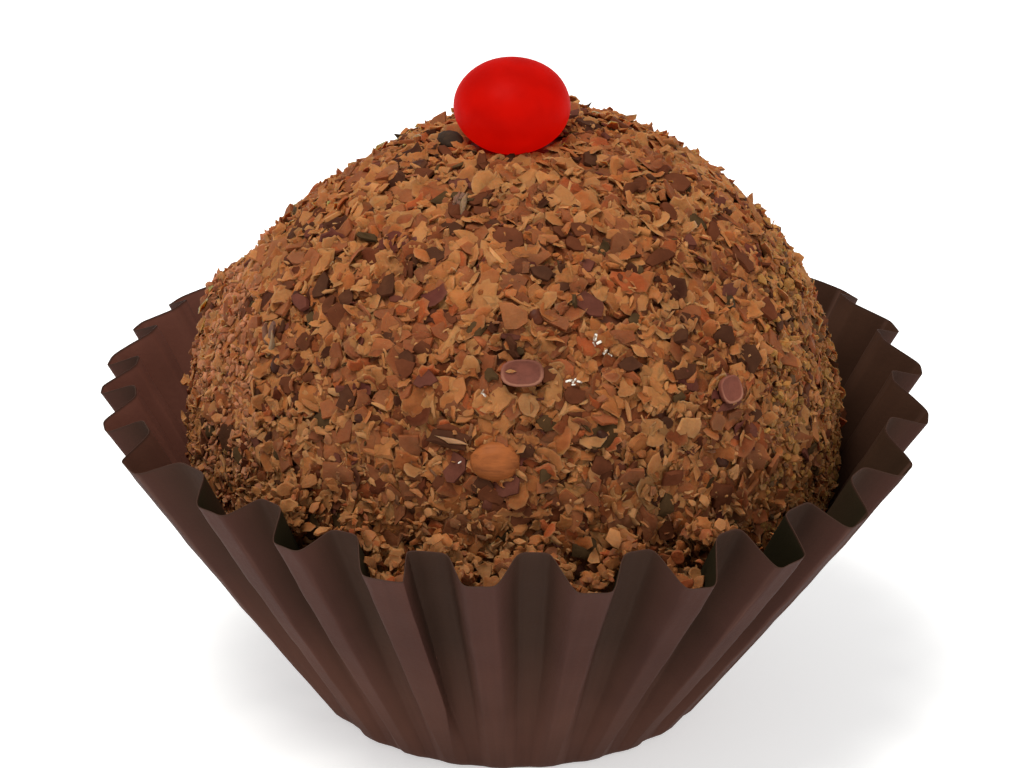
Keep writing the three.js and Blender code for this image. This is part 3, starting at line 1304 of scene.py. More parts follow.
    def _curl(self) -> bmesh.types.BMesh:
        """A shaving that has rolled up on itself.

        Returns:
            The shape.
        """
        draw = self.random
        shape = bmesh.new()
        bmesh.ops.create_grid(shape, x_segments=8, y_segments=1, size=0.5)
        sweep, radius = draw.uniform(2.4, 4.6), draw.uniform(0.16, 0.26)
        taper = draw.uniform(0.0, 0.12)
        for vert in shape.verts:
            turn = (vert.co.x + 0.5) * sweep
            reach = radius + taper * (vert.co.x + 0.5)
            vert.co = (reach * math.cos(turn), vert.co.y * 0.75, reach * math.sin(turn))
        bmesh.ops.solidify(shape, geom=shape.faces[:], thickness=0.06)
        return shape

    def _nib(self) -> bmesh.types.BMesh:
        """A rounded bean-like nib.

        Returns:
            The shape.
        """
        draw = self.random
        shape = bmesh.new()
        bmesh.ops.create_icosphere(shape, subdivisions=2, radius=0.5)
        stretch = (1.0, draw.uniform(0.62, 0.8), draw.uniform(0.5, 0.65))
        bmesh.ops.scale(shape, vec=stretch, verts=shape.verts)
        for vert in shape.verts:
            vert.co *= 1.0 + draw.uniform(-0.03, 0.03)
        return shape

    def _crystal(self) -> bmesh.types.BMesh:
        """A squarish grain of sugar.

        Returns:
            The shape.
        """
        draw = self.random
        shape = bmesh.new()
        bmesh.ops.create_cube(shape, size=0.8)
        stretch = (1.3, draw.uniform(0.3, 0.6), draw.uniform(0.3, 0.5))
        bmesh.ops.scale(shape, vec=stretch, verts=shape.verts)
        bmesh.ops.bevel(
            shape, geom=shape.edges[:], offset=0.08, offset_type="OFFSET", segments=1,
            profile=0.5, affect="EDGES", material=-1,
        )
        return shape


@dataclass
class Heap:
    """Copies of pattern chips, each with its own place, turn, size and tint."""

    chips: list[Chip]
    centres: np.ndarray
    turns: np.ndarray
    sizes: np.ndarray
    tints: np.ndarray
    patterns: np.ndarray
    sharp: float = FLAKE_CREASE

    def arrays(self) -> tuple[np.ndarray, np.ndarray, np.ndarray, np.ndarray, np.ndarray]:
        """Lays out all copies.

        Returns:
            The points, the triangles, each point's tint, each point's edge share and the number
            of the copy that each point belongs to.
        """
        points, triangles, tints, edges, owners, start = [], [], [], [], [], 0
        for number, chip in enumerate(self.chips):
            copies = np.flatnonzero(self.patterns == number)
            if not len(copies):
                continue
            sized = chip.points[None, :, :] * self.sizes[copies][:, None, :]
            placed = np.einsum("nij,npj->npi", self.turns[copies], sized)
            placed += self.centres[copies][:, None, :]
            count, each = len(copies), len(chip.points)
            offsets = start + np.arange(count) * each
            points.append(placed.reshape(-1, 3))
            triangles.append((chip.triangles[None] + offsets[:, None, None]).reshape(-1, 3))
            tints.append(np.repeat(self.tints[copies], each, axis=0))
            edges.append(np.tile(chip.edge, count))
            owners.append(np.repeat(copies, each))
            start += count * each
        return tuple(np.concatenate(part) for part in (points, triangles, tints, edges, owners))

    def keep(self, kept: np.ndarray) -> "Heap":
        """The heap with only the copies for which kept is true."""
        return Heap(self.chips, self.centres[kept], self.turns[kept], self.sizes[kept],
                    self.tints[kept], self.patterns[kept], self.sharp)

    def mesh(self) -> bpy.types.Mesh:
        """Joins the copies into one mesh.

        Returns:
            The mesh, in metres.
        """
        points, triangles, tints, edges, _ = self.arrays()
        mesh = bpy.data.meshes.new("heap")
        mesh.from_pydata((points * MM).tolist(), [], triangles.tolist())
        tint = mesh.attributes.new("tint", "FLOAT_COLOR", "POINT")
        tint.data.foreach_set("color", np.c_[tints, np.ones(len(tints))].ravel().astype(np.float32))
        edge = mesh.attributes.new("edge", "FLOAT", "POINT")
        edge.data.foreach_set("value", edges.astype(np.float32))
        mesh.polygons.foreach_set("use_smooth", np.ones(len(mesh.polygons), bool))
        mesh.set_sharp_from_angle(angle=math.radians(self.sharp))
        mesh.update()
        return mesh


def turned(outward: np.ndarray, roll: np.ndarray, tilt: np.ndarray, lean: np.ndarray) -> np.ndarray:
    """Rotations that lay chips on a surface.

    Args:
        outward: The surface's outward direction at each chip, one to a row.
        roll: How far each chip is turned on the surface, in radians.
        tilt: How far it is tipped off the surface, in radians.
        lean: The direction on the surface that it is tipped about, in radians.

    Returns:
        One 3 by 3 rotation for each chip.
    """
    helper = np.where(np.abs(outward[:, 2:3]) > 0.95, [[1.0, 0.0, 0.0]], [[0.0, 0.0, 1.0]])
    across = np.cross(helper, outward)
    across /= np.linalg.norm(across, axis=1, keepdims=True)
    along = np.cross(outward, across)
    seat = np.stack([across, along, outward], axis=2)
    cos_lean, sin_lean = np.cos(lean), np.sin(lean)
    cos_tilt, sin_tilt = np.cos(tilt), np.sin(tilt)
    rest = 1.0 - cos_tilt
    tip = np.empty((len(roll), 3, 3))
    tip[:, 0, 0] = cos_tilt + cos_lean**2 * rest
    tip[:, 0, 1] = tip[:, 1, 0] = cos_lean * sin_lean * rest
    tip[:, 1, 1] = cos_tilt + sin_lean**2 * rest
    tip[:, 0, 2], tip[:, 2, 0] = sin_lean * sin_tilt, -sin_lean * sin_tilt
    tip[:, 1, 2], tip[:, 2, 1] = -cos_lean * sin_tilt, cos_lean * sin_tilt
    tip[:, 2, 2] = cos_tilt
    spin = np.zeros((len(roll), 3, 3))
    spin[:, 0, 0] = spin[:, 1, 1] = np.cos(roll)
    spin[:, 0, 1], spin[:, 1, 0] = -np.sin(roll), np.sin(roll)
    spin[:, 2, 2] = 1.0
    return seat @ tip @ spin


class Tones(Enum):
    """Mixtures of tints, each a share and a linear colour."""

    # UNDER is a darker copy of the milk tones: painted shade in the gaps between the upper flakes.
    UNDER = ((0.4, srgb(108, 54, 26)), (0.3, srgb(96, 46, 20)), (0.3, srgb(118, 61, 29)))
    MILK = ((0.35, srgb(143, 92, 51)), (0.33, srgb(137, 82, 42)), (0.18, srgb(131, 72, 34)),
            (0.06, srgb(128, 61, 28)), (0.08, srgb(112, 60, 33)))
    DARK = ((0.42, srgb(76, 36, 20)), (0.28, srgb(57, 29, 18)), (0.22, srgb(80, 40, 32)),
            (0.08, srgb(58, 42, 24)))
    INK = ((1.0, srgb(48, 35, 27)),)
    PALE = ((0.6, srgb(153, 106, 64)), (0.3, srgb(142, 92, 50)), (0.1, srgb(104, 62, 37)))
    SHREDS = ((0.4, srgb(152, 102, 61)), (0.35, srgb(138, 82, 43)), (0.15, srgb(110, 60, 33)),
              (0.1, srgb(68, 34, 20)))
    OLIVE = ((0.5, srgb(144, 100, 50)), (0.3, srgb(122, 75, 37)), (0.2, srgb(80, 52, 30)))
    ROSY = ((0.5, srgb(154, 100, 70)), (0.3, srgb(142, 88, 58)), (0.2, srgb(120, 70, 46)))
    NUT = ((0.6, srgb(134, 71, 31)), (0.4, srgb(126, 66, 28)))
    ALMOND = ((1.0, srgb(138, 77, 38)),)
    BUTTON = ((1.0, srgb(104, 58, 46)),)
    ASH = ((1.0, srgb(132, 102, 76)),)
    SMOKE = ((0.5, srgb(108, 90, 70)), (0.5, srgb(82, 56, 48)))
    SUGAR = ((1.0, srgb(226, 230, 222)),)


TINT_SPREAD = 0.06
WARMTH_SPREAD = 0.05
WARMER = (-0.3, 0.4, 1.0)


def pick_tints(tones: Tones, count: int, draw: np.random.Generator) -> np.ndarray:
    """Draws a tint for each chip from a mixture, each a little lighter or darker.

    Args:
        tones: The mixture.
        count: How many tints are drawn.
        draw: The random draws.

    Returns:
        Linear colours, one to a row.
    """
    shares, colours = zip(*tones.value)
    picked = draw.choice(len(colours), count, p=np.array(shares) / sum(shares))
    level = np.exp(draw.normal(0.0, TINT_SPREAD, count))[:, None]
    warmth = draw.normal(0.0, WARMTH_SPREAD, count)[:, None] * np.array([WARMER])
    return np.clip(np.array(colours)[picked] * level * (1.0 + warmth), 0.0, 0.9)


PATCH_WAVES = 9
PATCH_FINENESS = 13.0
PATCH_RANGE = 2.1


def patches(direction: np.ndarray, seed: int) -> np.ndarray:
    """Soft patches over the ball, a few millimetres wide.

    Args:
        direction: Unit vectors, one to a row.
        seed: Where the patches lie.

    Returns:
        A value for each direction, about 1 wide and 0 on average.
    """
    draw = np.random.default_rng(seed)
    waves = draw.normal(0.0, PATCH_FINENESS, (PATCH_WAVES, 3))
    starts = draw.uniform(0.0, 2.0 * math.pi, PATCH_WAVES)
    return np.sin(direction @ waves.T + starts).sum(axis=1) / PATCH_RANGE


# Painted shade low on the ball and painted light near its top.
LOW_SHADE_LEVEL, TOP_LIGHT_LEVEL = 0.78, 1.06
SHADE_Z, LIGHT_Z = 12.0, 31.0


def painted_height_light(tints: np.ndarray, centres: np.ndarray) -> np.ndarray:
    """Tints darker low on the ball and paler near its top: painted shade below and painted light on
    top.

    Args:
        tints: Linear colours, one to a row.
        centres: The chips' places, one to a row.

    Returns:
        Linear colours, one to a row.
    """
    top_light = smoothstep(SHADE_Z, LIGHT_Z, centres[:, 2])
    return tints * lerp(LOW_SHADE_LEVEL, TOP_LIGHT_LEVEL, top_light)[:, None]


@dataclass
class CoatLayer:
    """One layer of the coat: chips of one kind, spread evenly over the ball."""

    name: str
    kinds: Sequence[ChipKind]
    tones: Tones
    count: int
    width: tuple[float, float]
    small_bias: float
    lift: tuple[float, float]
    tilt: float
    seed: int
    finish: FlakeFinish = FlakeFinish()
    lowest_z: float = 11.6
    highest_z: float = 40.0
    patterns: int = 14
    thickness: tuple[float, float] = (0.8, 1.3)
    steep_share: float = 0.0
    side_reach: float = 0.0
    patchiness: float = 0.0
    patch_seed: int = 7
    patch_edge: float = 0.6
    patch_level: float = 0.25
    shake: float = 0.4
    ragged_edge: float = 1.2
    most_tilt: float = 60.0
    steep_tilt: tuple[float, float] = (36.0, 68.0)
    wall_gap: float = 0.55
    smooth: bool = False

    def _directions(self, draw: np.random.Generator, form: BallForm) -> np.ndarray:
        """Directions from the ball's middle, evenly spread and a little shaken.

        Args:
            draw: The layer's random draws.
            form: The ball's form.

        Returns:
            Unit vectors, one to a row.
        """
        number = np.arange(self.count)
        lowest = (self.lowest_z - form.middle_z) / form.core_radius
        up = 1.0 - (1.0 - lowest) * (number + 0.5) / self.count
        level = np.sqrt(1.0 - up**2)
        turn = number * math.pi * (3.0 - math.sqrt(5.0)) + self.seed
        even = np.stack([level * np.cos(turn), level * np.sin(turn), up], axis=1)
        spacing = math.sqrt(2.0 * math.pi * (1.0 - lowest) / self.count)
        shaken = even + draw.normal(0.0, self.shake * spacing, even.shape)
        shaken /= np.linalg.norm(shaken, axis=1, keepdims=True)
        shaken = shaken[shaken[:, 0] * np.sign(self.side_reach) >= abs(self.side_reach)]
        height = form.middle_z + form.core_radius * shaken[:, 2]
        height = height + draw.normal(0.0, self.ragged_edge, len(shaken))
        shaken = shaken[height < self.highest_z]
        if self.patchiness:
            level = self.patchiness * patches(shaken, self.patch_seed)
            level = level + draw.normal(0.0, self.patch_edge, len(shaken))
            shaken = shaken[level > self.patch_level]
        return shaken

    def heap(self, ball: FudgeBall) -> Heap:
        """Scatters the layer's chips over the ball.

        Args:
            ball: The fudge that they are pressed into.

        Returns:
            The heap of chips.
        """
        draw = np.random.default_rng(self.seed)
        direction = self._directions(draw, ball.form)
        maker = ChipMaker(self.seed + 1)
        chips = [chip for kind in self.kinds for chip in maker.several(kind, self.patterns)]
        count = len(direction)
        size = lerp(*self.width, draw.random(count) ** self.small_bias)
        thick = size**0.5 * draw.uniform(*self.thickness, count)
        lift = draw.uniform(*self.lift, count)
        tilt = np.abs(draw.normal(0.0, self.tilt, count))
        steep = draw.random(count) < self.steep_share
        steeper = draw.uniform(*self.steep_tilt, count)
        tilt = np.radians(np.where(steep, steeper, np.minimum(tilt, self.most_tilt)))
        roll, lean = draw.uniform(0.0, 2.0 * math.pi, (2, count))
        centres = ball.place(direction, lift, self.wall_gap)
        return Heap(
            chips,
            centres,
            turned(direction, roll, tilt, lean),
            np.stack([size, size, thick], axis=1),
            painted_height_light(pick_tints(self.tones, count, draw), centres),
            draw.integers(0, len(chips), count),
            NO_CREASE if self.smooth else FLAKE_CREASE,
        )


@dataclass(frozen=True)
class PlacedChip:
    """A chip with a place of its own on the ball, at a turn from the front and a rise."""

    kind: ChipKind
    tones: Tones
    turn: float
    rise: float
    size: tuple[float, float, float]
    roll: float
    tilt: float
    lift: float


@dataclass
class PlacedChips:
    """The chips that stand out on the ball, joined into one piece."""

    name: str
    chips: Sequence[PlacedChip]
    finish: FlakeFinish | NutFinish | CrystalFinish
    seed: int
    wall_gap: float = 0.3
    smooth: bool = False

    def heap(self, ball: FudgeBall) -> Heap:
        """Puts each chip in its place.

        Args:
            ball: The fudge that they are pressed into.

        Returns:
            The heap of chips.
        """
        draw, maker = np.random.default_rng(self.seed), ChipMaker(self.seed + 1)
        turn, rise, roll, tilt = np.radians(
            [(chip.turn, chip.rise, chip.roll, chip.tilt) for chip in self.chips]
        ).T
        level = np.cos(rise)
        direction = np.stack([level * np.sin(turn), -level * np.cos(turn), np.sin(rise)], axis=1)
        lift = np.array([chip.lift for chip in self.chips])
        return Heap(
            [maker.several(chip.kind, 1)[0] for chip in self.chips],
            ball.place(direction, lift, self.wall_gap),
            turned(direction, roll, tilt, np.zeros(len(self.chips))),
            np.array([chip.size for chip in self.chips]),
            np.concatenate([pick_tints(chip.tones, 1, draw) for chip in self.chips]),
            np.arange(len(self.chips)),
            NO_CREASE if self.smooth else FLAKE_CREASE,
        )


@dataclass
class PocketFlakes:
    """Loose flakes between the ball and the paper, behind the crests or behind the folds."""

    case: CaseForm
    name: str
    kinds: Sequence[ChipKind]
    tones: Tones
    crests: Sequence[int]
    each: int
    width: tuple[float, float]
    depth: tuple[float, float]
    seed: int
    spread: float = 0.3
    offset: float = 0.0
    patterns: int = 10
    small_bias: float = 1.4
    inner_bias: float = 0.8
    core_gap: float = 0.1
    paper_gap: float = 0.3
    over_rim: float = 0.1
    outward_rise: float = 0.8
    tilt: float = 38.0
    most_tilt_radians: float = 1.3
    coat_reach: float = 0.8
    chip_reach: float = 0.8
    least_drop: float = 0.1
    carriers: int = 5
    sunk: float = 0.3
    finish: FlakeFinish = FlakeFinish()

    def heap(self, ball: FudgeBall) -> Heap:
        """Scatters the flakes through the pockets.

        Args:
            ball: The fudge that stands inside the case.

        Returns:
            The heap of flakes.
        """
        draw, maker = np.random.default_rng(self.seed), ChipMaker(self.seed + 1)
        chips = [chip for kind in self.kinds for chip in maker.several(kind, self.patterns)]
        crest = np.repeat(np.array(self.crests), self.each)
        count = len(crest)
        width = np.array(self.case.pleat_widths)[crest]
        stray = self.offset + draw.uniform(-self.spread, self.spread, count)
        angle = self.case.crest_angle(crest) + width * stray
        pleat, along = self.case.locate(angle)
        wander = self.case.wander(pleat, along)
        _, _, rim_z = self.case.ends(angle, self.case.crest(along), wander)
        height = rim_z - draw.uniform(*self.depth, count)
        above_rim = height > rim_z + self.over_rim
        room = self.case.radius_at(angle, height)
        room = room - np.where(above_rim, -self.over_rim, self.paper_gap)
        away = height - ball.form.middle_z
        core = np.sqrt(np.maximum(ball.form.core_radius**2 - away**2, 0.0))
        radius = lerp(core + self.core_gap, room, draw.random(count) ** self.inner_bias)
        turn = np.radians(angle)
        centres = np.stack([radius * np.sin(turn), -radius * np.cos(turn), height], axis=1)
        size = lerp(*self.width, draw.random(count) ** self.small_bias)
        rise = np.full(count, self.outward_rise)
        outward = np.stack([np.sin(turn), -np.cos(turn), rise], axis=1)
        outward /= np.linalg.norm(outward, axis=1, keepdims=True)
        tilt = np.abs(np.radians(draw.normal(0.0, self.tilt, count)))
        tilt = np.minimum(tilt, self.most_tilt_radians)
        roll, lean = draw.uniform(0.0, 2.0 * math.pi, (2, count))
        heap = Heap(
            chips,
            centres,
            turned(outward, roll, tilt, lean),
            np.stack([size, size, size**0.5], axis=1),
            painted_height_light(pick_tints(self.tones, count, draw), centres),
            draw.integers(0, len(chips), count),
        )
        # Only flakes near the rim and away from the coat are tried for what lies below them.
        held = (height < rim_z - self.sunk) | (ball.form.above(centres) < self.coat_reach)
        return heap.keep(held | self._carried(centres))

    def _carried(self, centres: np.ndarray) -> np.ndarray:
        """Finds the flakes with enough others close by and lower, which needn't touch them.

        Args:
            centres: The flakes' places, one to a row.

        Returns:
            True for each that has them.
        """
        apart = centres[None] - centres[:, None]
        near = np.linalg.norm(apart, axis=2) < self.chip_reach
        below = near & (apart[:, :, 2] < -self.least_drop)
        return below.sum(axis=1) >= self.carriers


# Chips that stand out on the ball, each row with its turn, rise, sizes and roll.
GREY_SLIVERS = (
    (-56.8, 31.5, 2.6, 82.0), (-55.2, 30.0, 2.2, 76.0), (-58.4, 30.2, 1.8, 98.0),
    (-21.4, 65.2, 1.6, 84.0), (-19.6, 64.8, 1.5, 92.0), (-23.4, 65.6, 1.3, 78.0),
)
DARK_SHARDS = (
    (-0.4, 39.6, 1.9, 0.8, 0.0), (-21.8, 32.9, 1.7, 2.0, 60.0), (-10.9, 22.0, 3.0, 1.5, -8.0),
    (-11.8, 23.6, 2.0, 0.7, -8.0), (58.1, 63.5, 1.9, 1.1, 10.0), (42.2, 49.7, 2.3, 1.0, 0.0),
    (65.5, 49.3, 1.6, 1.7, 30.0), (63.8, 33.3, 1.8, 2.2, 80.0), (43.3, 22.0, 1.8, 1.0, 5.0),
    (18.5, 44.3, 1.5, 1.9, 40.0), (-53.1, 38.6, 1.5, 1.4, 0.0), (15.5, 17.2, 1.9, 1.2, 20.0),
    (41.3, 37.9, 1.2, 1.9, 75.0), (-46.9, 53.6, 1.6, 1.0, 10.0), (-22.6, 64.1, 1.6, 1.2, 85.0),
    (-33.0, 26.0, 1.5, 1.8, 50.0), (24.0, 33.0, 1.4, 1.6, 15.0), (36.0, 30.0, 1.2, 2.1, 80.0),
    (-17.0, 31.5, 1.3, 1.9, 70.0), (8.0, 50.5, 1.6, 1.1, 0.0), (29.0, 13.0, 1.7, 1.2, 0.0),
    (7.0, 33.0, 1.0, 1.4, 5.0), (-4.2, 33.0, 0.9, 1.3, -5.0), (12.0, 29.2, 1.5, 1.5, 0.0),
    (-25.0, 77.4, 1.9, 1.0, 0.0), (-66.0, 77.0, 2.0, 1.5, 30.0), (53.3, 63.7, 2.0, 1.0, 10.0),
)
SUGAR_GRAINS = (
    (17.6, 38.3, 0.38, 75.0), (18.2, 37.4, 0.3, 20.0), (17.1, 37.2, 0.26, 110.0),
    (19.1, 35.7, 0.3, 40.0), (20.0, 35.1, 0.24, 140.0), (11.0, 31.6, 0.36, 10.0),
    (12.0, 31.5, 0.3, 50.0), (13.0, 31.3, 0.3, 160.0), (11.8, 30.9, 0.2, 0.0),
    (-5.6, 30.1, 0.28, 60.0), (-5.2, 29.6, 0.24, 130.0), (-9.1, 18.3, 0.2, 40.0),
)


@dataclass
class FlakeCoat:
    """All the chips on the fudge, clear of the paper and of the red ball."""

    ball: FudgeBall
    paper: bpy.types.Object
    red_gap: float = 0.06
    proudest: float = 0.85
    # Each row gives its name, kinds, tones, count, widths, bias, lifts, tilt and seed, in the
    # order of the fields, and then what sets the layer apart.
    layers: Sequence[CoatLayer] = (
        CoatLayer("bedded_flakes", FLAT_KINDS, Tones.UNDER, 2700, (1.3, 2.6), 1.2,
                  (-0.1, 0.06), 12.0, 11, finish=FlakeFinish(bloom_and_rim_light_share=0.15)),
        CoatLayer("milk_flakes", (ChipKind.PETAL,), Tones.MILK, 3600, (0.8, 2.2), 1.3,
                  (-0.02, 0.22), 18.0, 23, thickness=(0.8, 1.5)),
        CoatLayer("curled_flakes", (ChipKind.PETAL,), Tones.MILK, 1900, (0.6, 1.5), 1.3,
                  (0.06, 0.28), 30.0, 27, steep_share=0.45, thickness=(0.8, 1.5),
                  finish=FlakeFinish(bloom_and_rim_light_share=0.32)),
        CoatLayer("broken_flakes", (ChipKind.SHARD,), Tones.MILK, 1200, (0.6, 1.6), 1.5,
                  (0.0, 0.24), 24.0, 29, steep_share=0.2),
        CoatLayer("thin_slivers", (ChipKind.SPLINTER,), Tones.PALE, 1400, (0.5, 1.4), 1.4,
                  (0.1, 0.3), 30.0, 53, steep_share=0.4),
        CoatLayer("dark_flakes", FLAT_KINDS, Tones.DARK, 1900, (0.7, 1.9), 1.4,
                  (0.1, 0.24), 16.0, 37, steep_share=0.1, patchiness=1.0,
                  finish=FlakeFinish(bloom_and_rim_light_share=0.06, softness=0.0, sheen=0.03)),
        CoatLayer("dark_slivers", (ChipKind.SPLINTER,), Tones.DARK, 2800, (0.4, 1.1), 1.4,
                  (0.08, 0.22), 16.0, 39, patchiness=1.0,
                  finish=FlakeFinish(bloom_and_rim_light_share=0.05, sheen=0.03)),
        CoatLayer("fine_crumbs", FINE_KINDS, Tones.MILK, 2100, (0.22, 0.55), 1.6,
                  (0.04, 0.28), 45.0, 41),
        CoatLayer("low_shreds", SHRED_KINDS, Tones.SHREDS, 6800, (0.35, 1.0), 1.5,
                  (0.14, 0.36), 34.0, 67, highest_z=20.5, steep_share=0.25,
                  finish=FlakeFinish(bloom_and_rim_light_share=0.3)),
        CoatLayer("left_crumbs", GRAINY_KINDS, Tones.ROSY, 13000, (0.2, 0.8), 1.5,
                  (0.12, 0.36), 45.0, 43, lowest_z=12.5, side_reach=-0.77),
        CoatLayer("right_crumbs", GRAINY_KINDS, Tones.OLIVE, 13000, (0.2, 0.8), 1.5,
                  (0.12, 0.36), 45.0, 47, lowest_z=12.5, side_reach=0.74),
        CoatLayer("rolled_shavings", (ChipKind.CURL,), Tones.MILK, 160, (0.5, 1.0), 1.3,
                  (0.02, 0.16), 30.0, 59),
        CoatLayer("round_nibs", (ChipKind.NIB,), Tones.DARK, 34, (0.8, 1.2), 1.0,
                  (0.02, 0.14), 20.0, 61, smooth=True,
                  finish=FlakeFinish(bloom_and_rim_light_share=0.08, roughness=0.45, softness=0.0)),
    )
    # Each chip's numbers are its turn, rise, sizes, roll, tilt and lift.
    placed: Sequence[PlacedChips] = (
        PlacedChips("almond", (
            PlacedChip(ChipKind.NIB, Tones.ALMOND, -3.0, 18.6, (2.65, 2.7, 2.5), 3.0, 0.0, 0.3),
        ), NutFinish(), 71, smooth=True),
        PlacedChips("dark_nib", (
            PlacedChip(ChipKind.NIB, Tones.INK, -88.7, 79.0, (2.4, 1.8, 1.5), 20.0, 0.0, 0.36),
        ), FlakeFinish(bloom_and_rim_light_share=0.1, softness=0.0, sheen=0.03), 72, smooth=True),
        # The ring nibs' pale rim colour is a painted highlight.
        PlacedChips("ring_nibs", (
            PlacedChip(ChipKind.BUTTON, Tones.BUTTON, 2.0, 33.2, (2.2, 1.4, 1.8), 0.0, 0.0, 0.38),
            PlacedChip(ChipKind.BUTTON, Tones.BUTTON, 43.9, 24.6, (1.45, 1.45, 1.8), 0.0, 0.0, 0.4),
        ), FlakeFinish(srgb(164, 116, 92), 1.0, softness=0.0, speckle=0.0), 75),
        PlacedChips("large_flakes", (
            PlacedChip(ChipKind.PETAL, Tones.PALE, 33.0, 21.2, (1.5, 1.7, 1.6), 0.0, 8.0, 0.5),
            PlacedChip(ChipKind.SHARD, Tones.NUT, 0.0, 43.2, (2.1, 1.7, 1.8), 0.0, 20.0, 0.5),
            PlacedChip(ChipKind.PETAL, Tones.PALE, -88.0, 2.5, (1.8, 1.0, 1.5), 0.0, 60.0, 0.6),
            PlacedChip(ChipKind.PETAL, Tones.PALE, -90.8, 8.6, (1.6, 1.0, 1.5), 0.0, 65.0, 0.6),
            PlacedChip(ChipKind.SHARD, Tones.UNDER, 38.9, 20.3, (1.5, 1.2, 1.5), 0.0, 14.0, 0.42),
            PlacedChip(ChipKind.SHARD, Tones.MILK, 153.7, 66.4, (1.3, 1.3, 1.6), 0.0, 40.0, 0.5),
            PlacedChip(ChipKind.SPLINTER, Tones.PALE, -0.2, 33.5, (0.6, 0.7, 0.6), 4.0, 0.0, 0.72),
            PlacedChip(ChipKind.SPLINTER, Tones.ASH, -10.6, 21.8, (2.1, 1.1, 1.3), -6.0, 0.0, 0.6),
        ), FlakeFinish(bloom_and_rim_light_share=0.3), 73),
        PlacedChips("grey_slivers", tuple(
            PlacedChip(ChipKind.SPLINTER, Tones.SMOKE, turn, rise, (long, 1.3, 1.6), roll, 30.0,
                       0.42)
            for turn, rise, long, roll in GREY_SLIVERS
        ), FlakeFinish(bloom_and_rim_light_share=0.2), 77),
        PlacedChips("dark_shards", tuple(
            PlacedChip(ChipKind.SHARD, Tones.DARK, turn, rise, (long, wide, 1.6), roll, 0.0, 0.32)
            for turn, rise, long, wide, roll in DARK_SHARDS
        ), FlakeFinish(bloom_and_rim_light_share=0.05, softness=0.0, sheen=0.03), 79),
        PlacedChips("sugar_grains", tuple(
            PlacedChip(ChipKind.CRYSTAL, Tones.SUGAR, turn, rise, (size, size, size), roll, 25.0,
                       0.62)
            for turn, rise, size, roll in SUGAR_GRAINS
        ), CrystalFinish(), 83),
    )

    def build(self) -> list[bpy.types.Object]:
        """Makes every layer.

        Returns:
            One object for each layer.
        """
        paper = BVHTree.FromPolygons(
            [tuple(vert.co / MM) for vert in self.paper.data.vertices],
            [tuple(face.vertices) for face in self.paper.data.polygons],
        )
        pockets = (
            PocketFlakes(self.ball.case, "heaped_flakes", FLAT_KINDS, Tones.MILK, (0, 1, 2, 26),
                         110, (0.5, 1.2), (0.25, 2.6), 91, spread=0.26),
            PocketFlakes(self.ball.case, "rim_flakes", FLAT_KINDS, Tones.MILK,
                         (24, 25, 26, 0, 1, 2), 80, (0.5, 1.3), (-0.5, 1.6), 93, spread=0.3,
                         offset=0.5),
            PocketFlakes(self.ball.case, "dropped_crumbs", FINE_KINDS,
                         Tones.MILK, (24, 25, 26, 0, 1, 2, 3), 40, (0.2, 0.7), (2.2, 4.2),
                         97, spread=0.5),
        )
        return [self._lay(layer, paper) for layer in (*self.layers, *self.placed, *pockets)]

    def _lay(
        self, layer: CoatLayer | PlacedChips | PocketFlakes, paper: BVHTree
    ) -> bpy.types.Object:
        """Makes one layer, without chips that cut the paper or the red ball or lie past the paper.

        Args:
            layer: The layer.
            paper: The paper case's faces, in millimetres.

        Returns:
            The layer's object.
        """
        heap = layer.heap(self.ball)
        points, triangles, _, _, owners = heap.arrays()
        kept = np.ones(len(heap.centres), bool)
        kept[owners[self.ball.form.inside_red(points, self.red_gap)]] = False
        if isinstance(layer, CoatLayer):
            kept[owners[self.ball.form.above(points) > self.proudest]] = False
        for number, centre in enumerate(heap.centres):
            inward = Vector((-centre[0], -centre[1], 0.0))
            kept[number] &= paper.ray_cast(Vector(centre), inward, inward.length)[0] is None
        chips = BVHTree.FromPolygons(points.tolist(), triangles.tolist())
        crossed = {pair[0] for pair in chips.overlap(paper)}
        kept[[owners[triangles[number][0]] for number in crossed]] = False
        mesh = heap.keep(kept).mesh()
        LOG.info("%s: %d of %d chips", layer.name, kept.sum(), len(kept))
        material = layer.finish.material(layer.name)
        return finish_piece(layer.name, mesh, material, ["flaked_ball"])


# ---- The red sugar ball ------------------------------------------------------------------


@dataclass
class SugarBall:
    """The red ball on top, with a slightly uneven shell."""

    form: BallForm
    sides: int = 72
    rings: int = 36
    unevenness: float = 0.018
    finish: SugarFinish = SugarFinish()

    def build(self) -> bpy.types.Object:
        """Makes the red ball.

        Returns:
            The red sugar ball.
        """
        form = self.form
        shape = bmesh.new()
        bmesh.ops.create_uvsphere(shape, u_segments=self.sides, v_segments=self.rings, radius=1.0)
        for vert in shape.verts:
            x, y, z = vert.co
            wave = math.sin(5.0 * x + 1.0) * math.sin(4.0 * y + 2.0 * z)
            wave += math.sin(6.0 * z - 3.0 * x)
            vert.co *= 1.0 + self.unevenness * 0.5 * wave / (form.red_width / 2.0)
        half = (form.red_width / 2.0, form.red_width / 2.0, form.red_height / 2.0)
        bmesh.ops.scale(shape, vec=half, verts=shape.verts)
        bmesh.ops.translate(shape, vec=(0.0, 0.0, form.red_middle_z), verts=shape.verts)
        mesh = mesh_from_shape(shape, NO_CREASE)
        return finish_piece("red_sugar_topping", mesh, self.finish.material(),
                            ["red_sugar_ball"])


# ---- The studio --------------------------------------------------------------------------


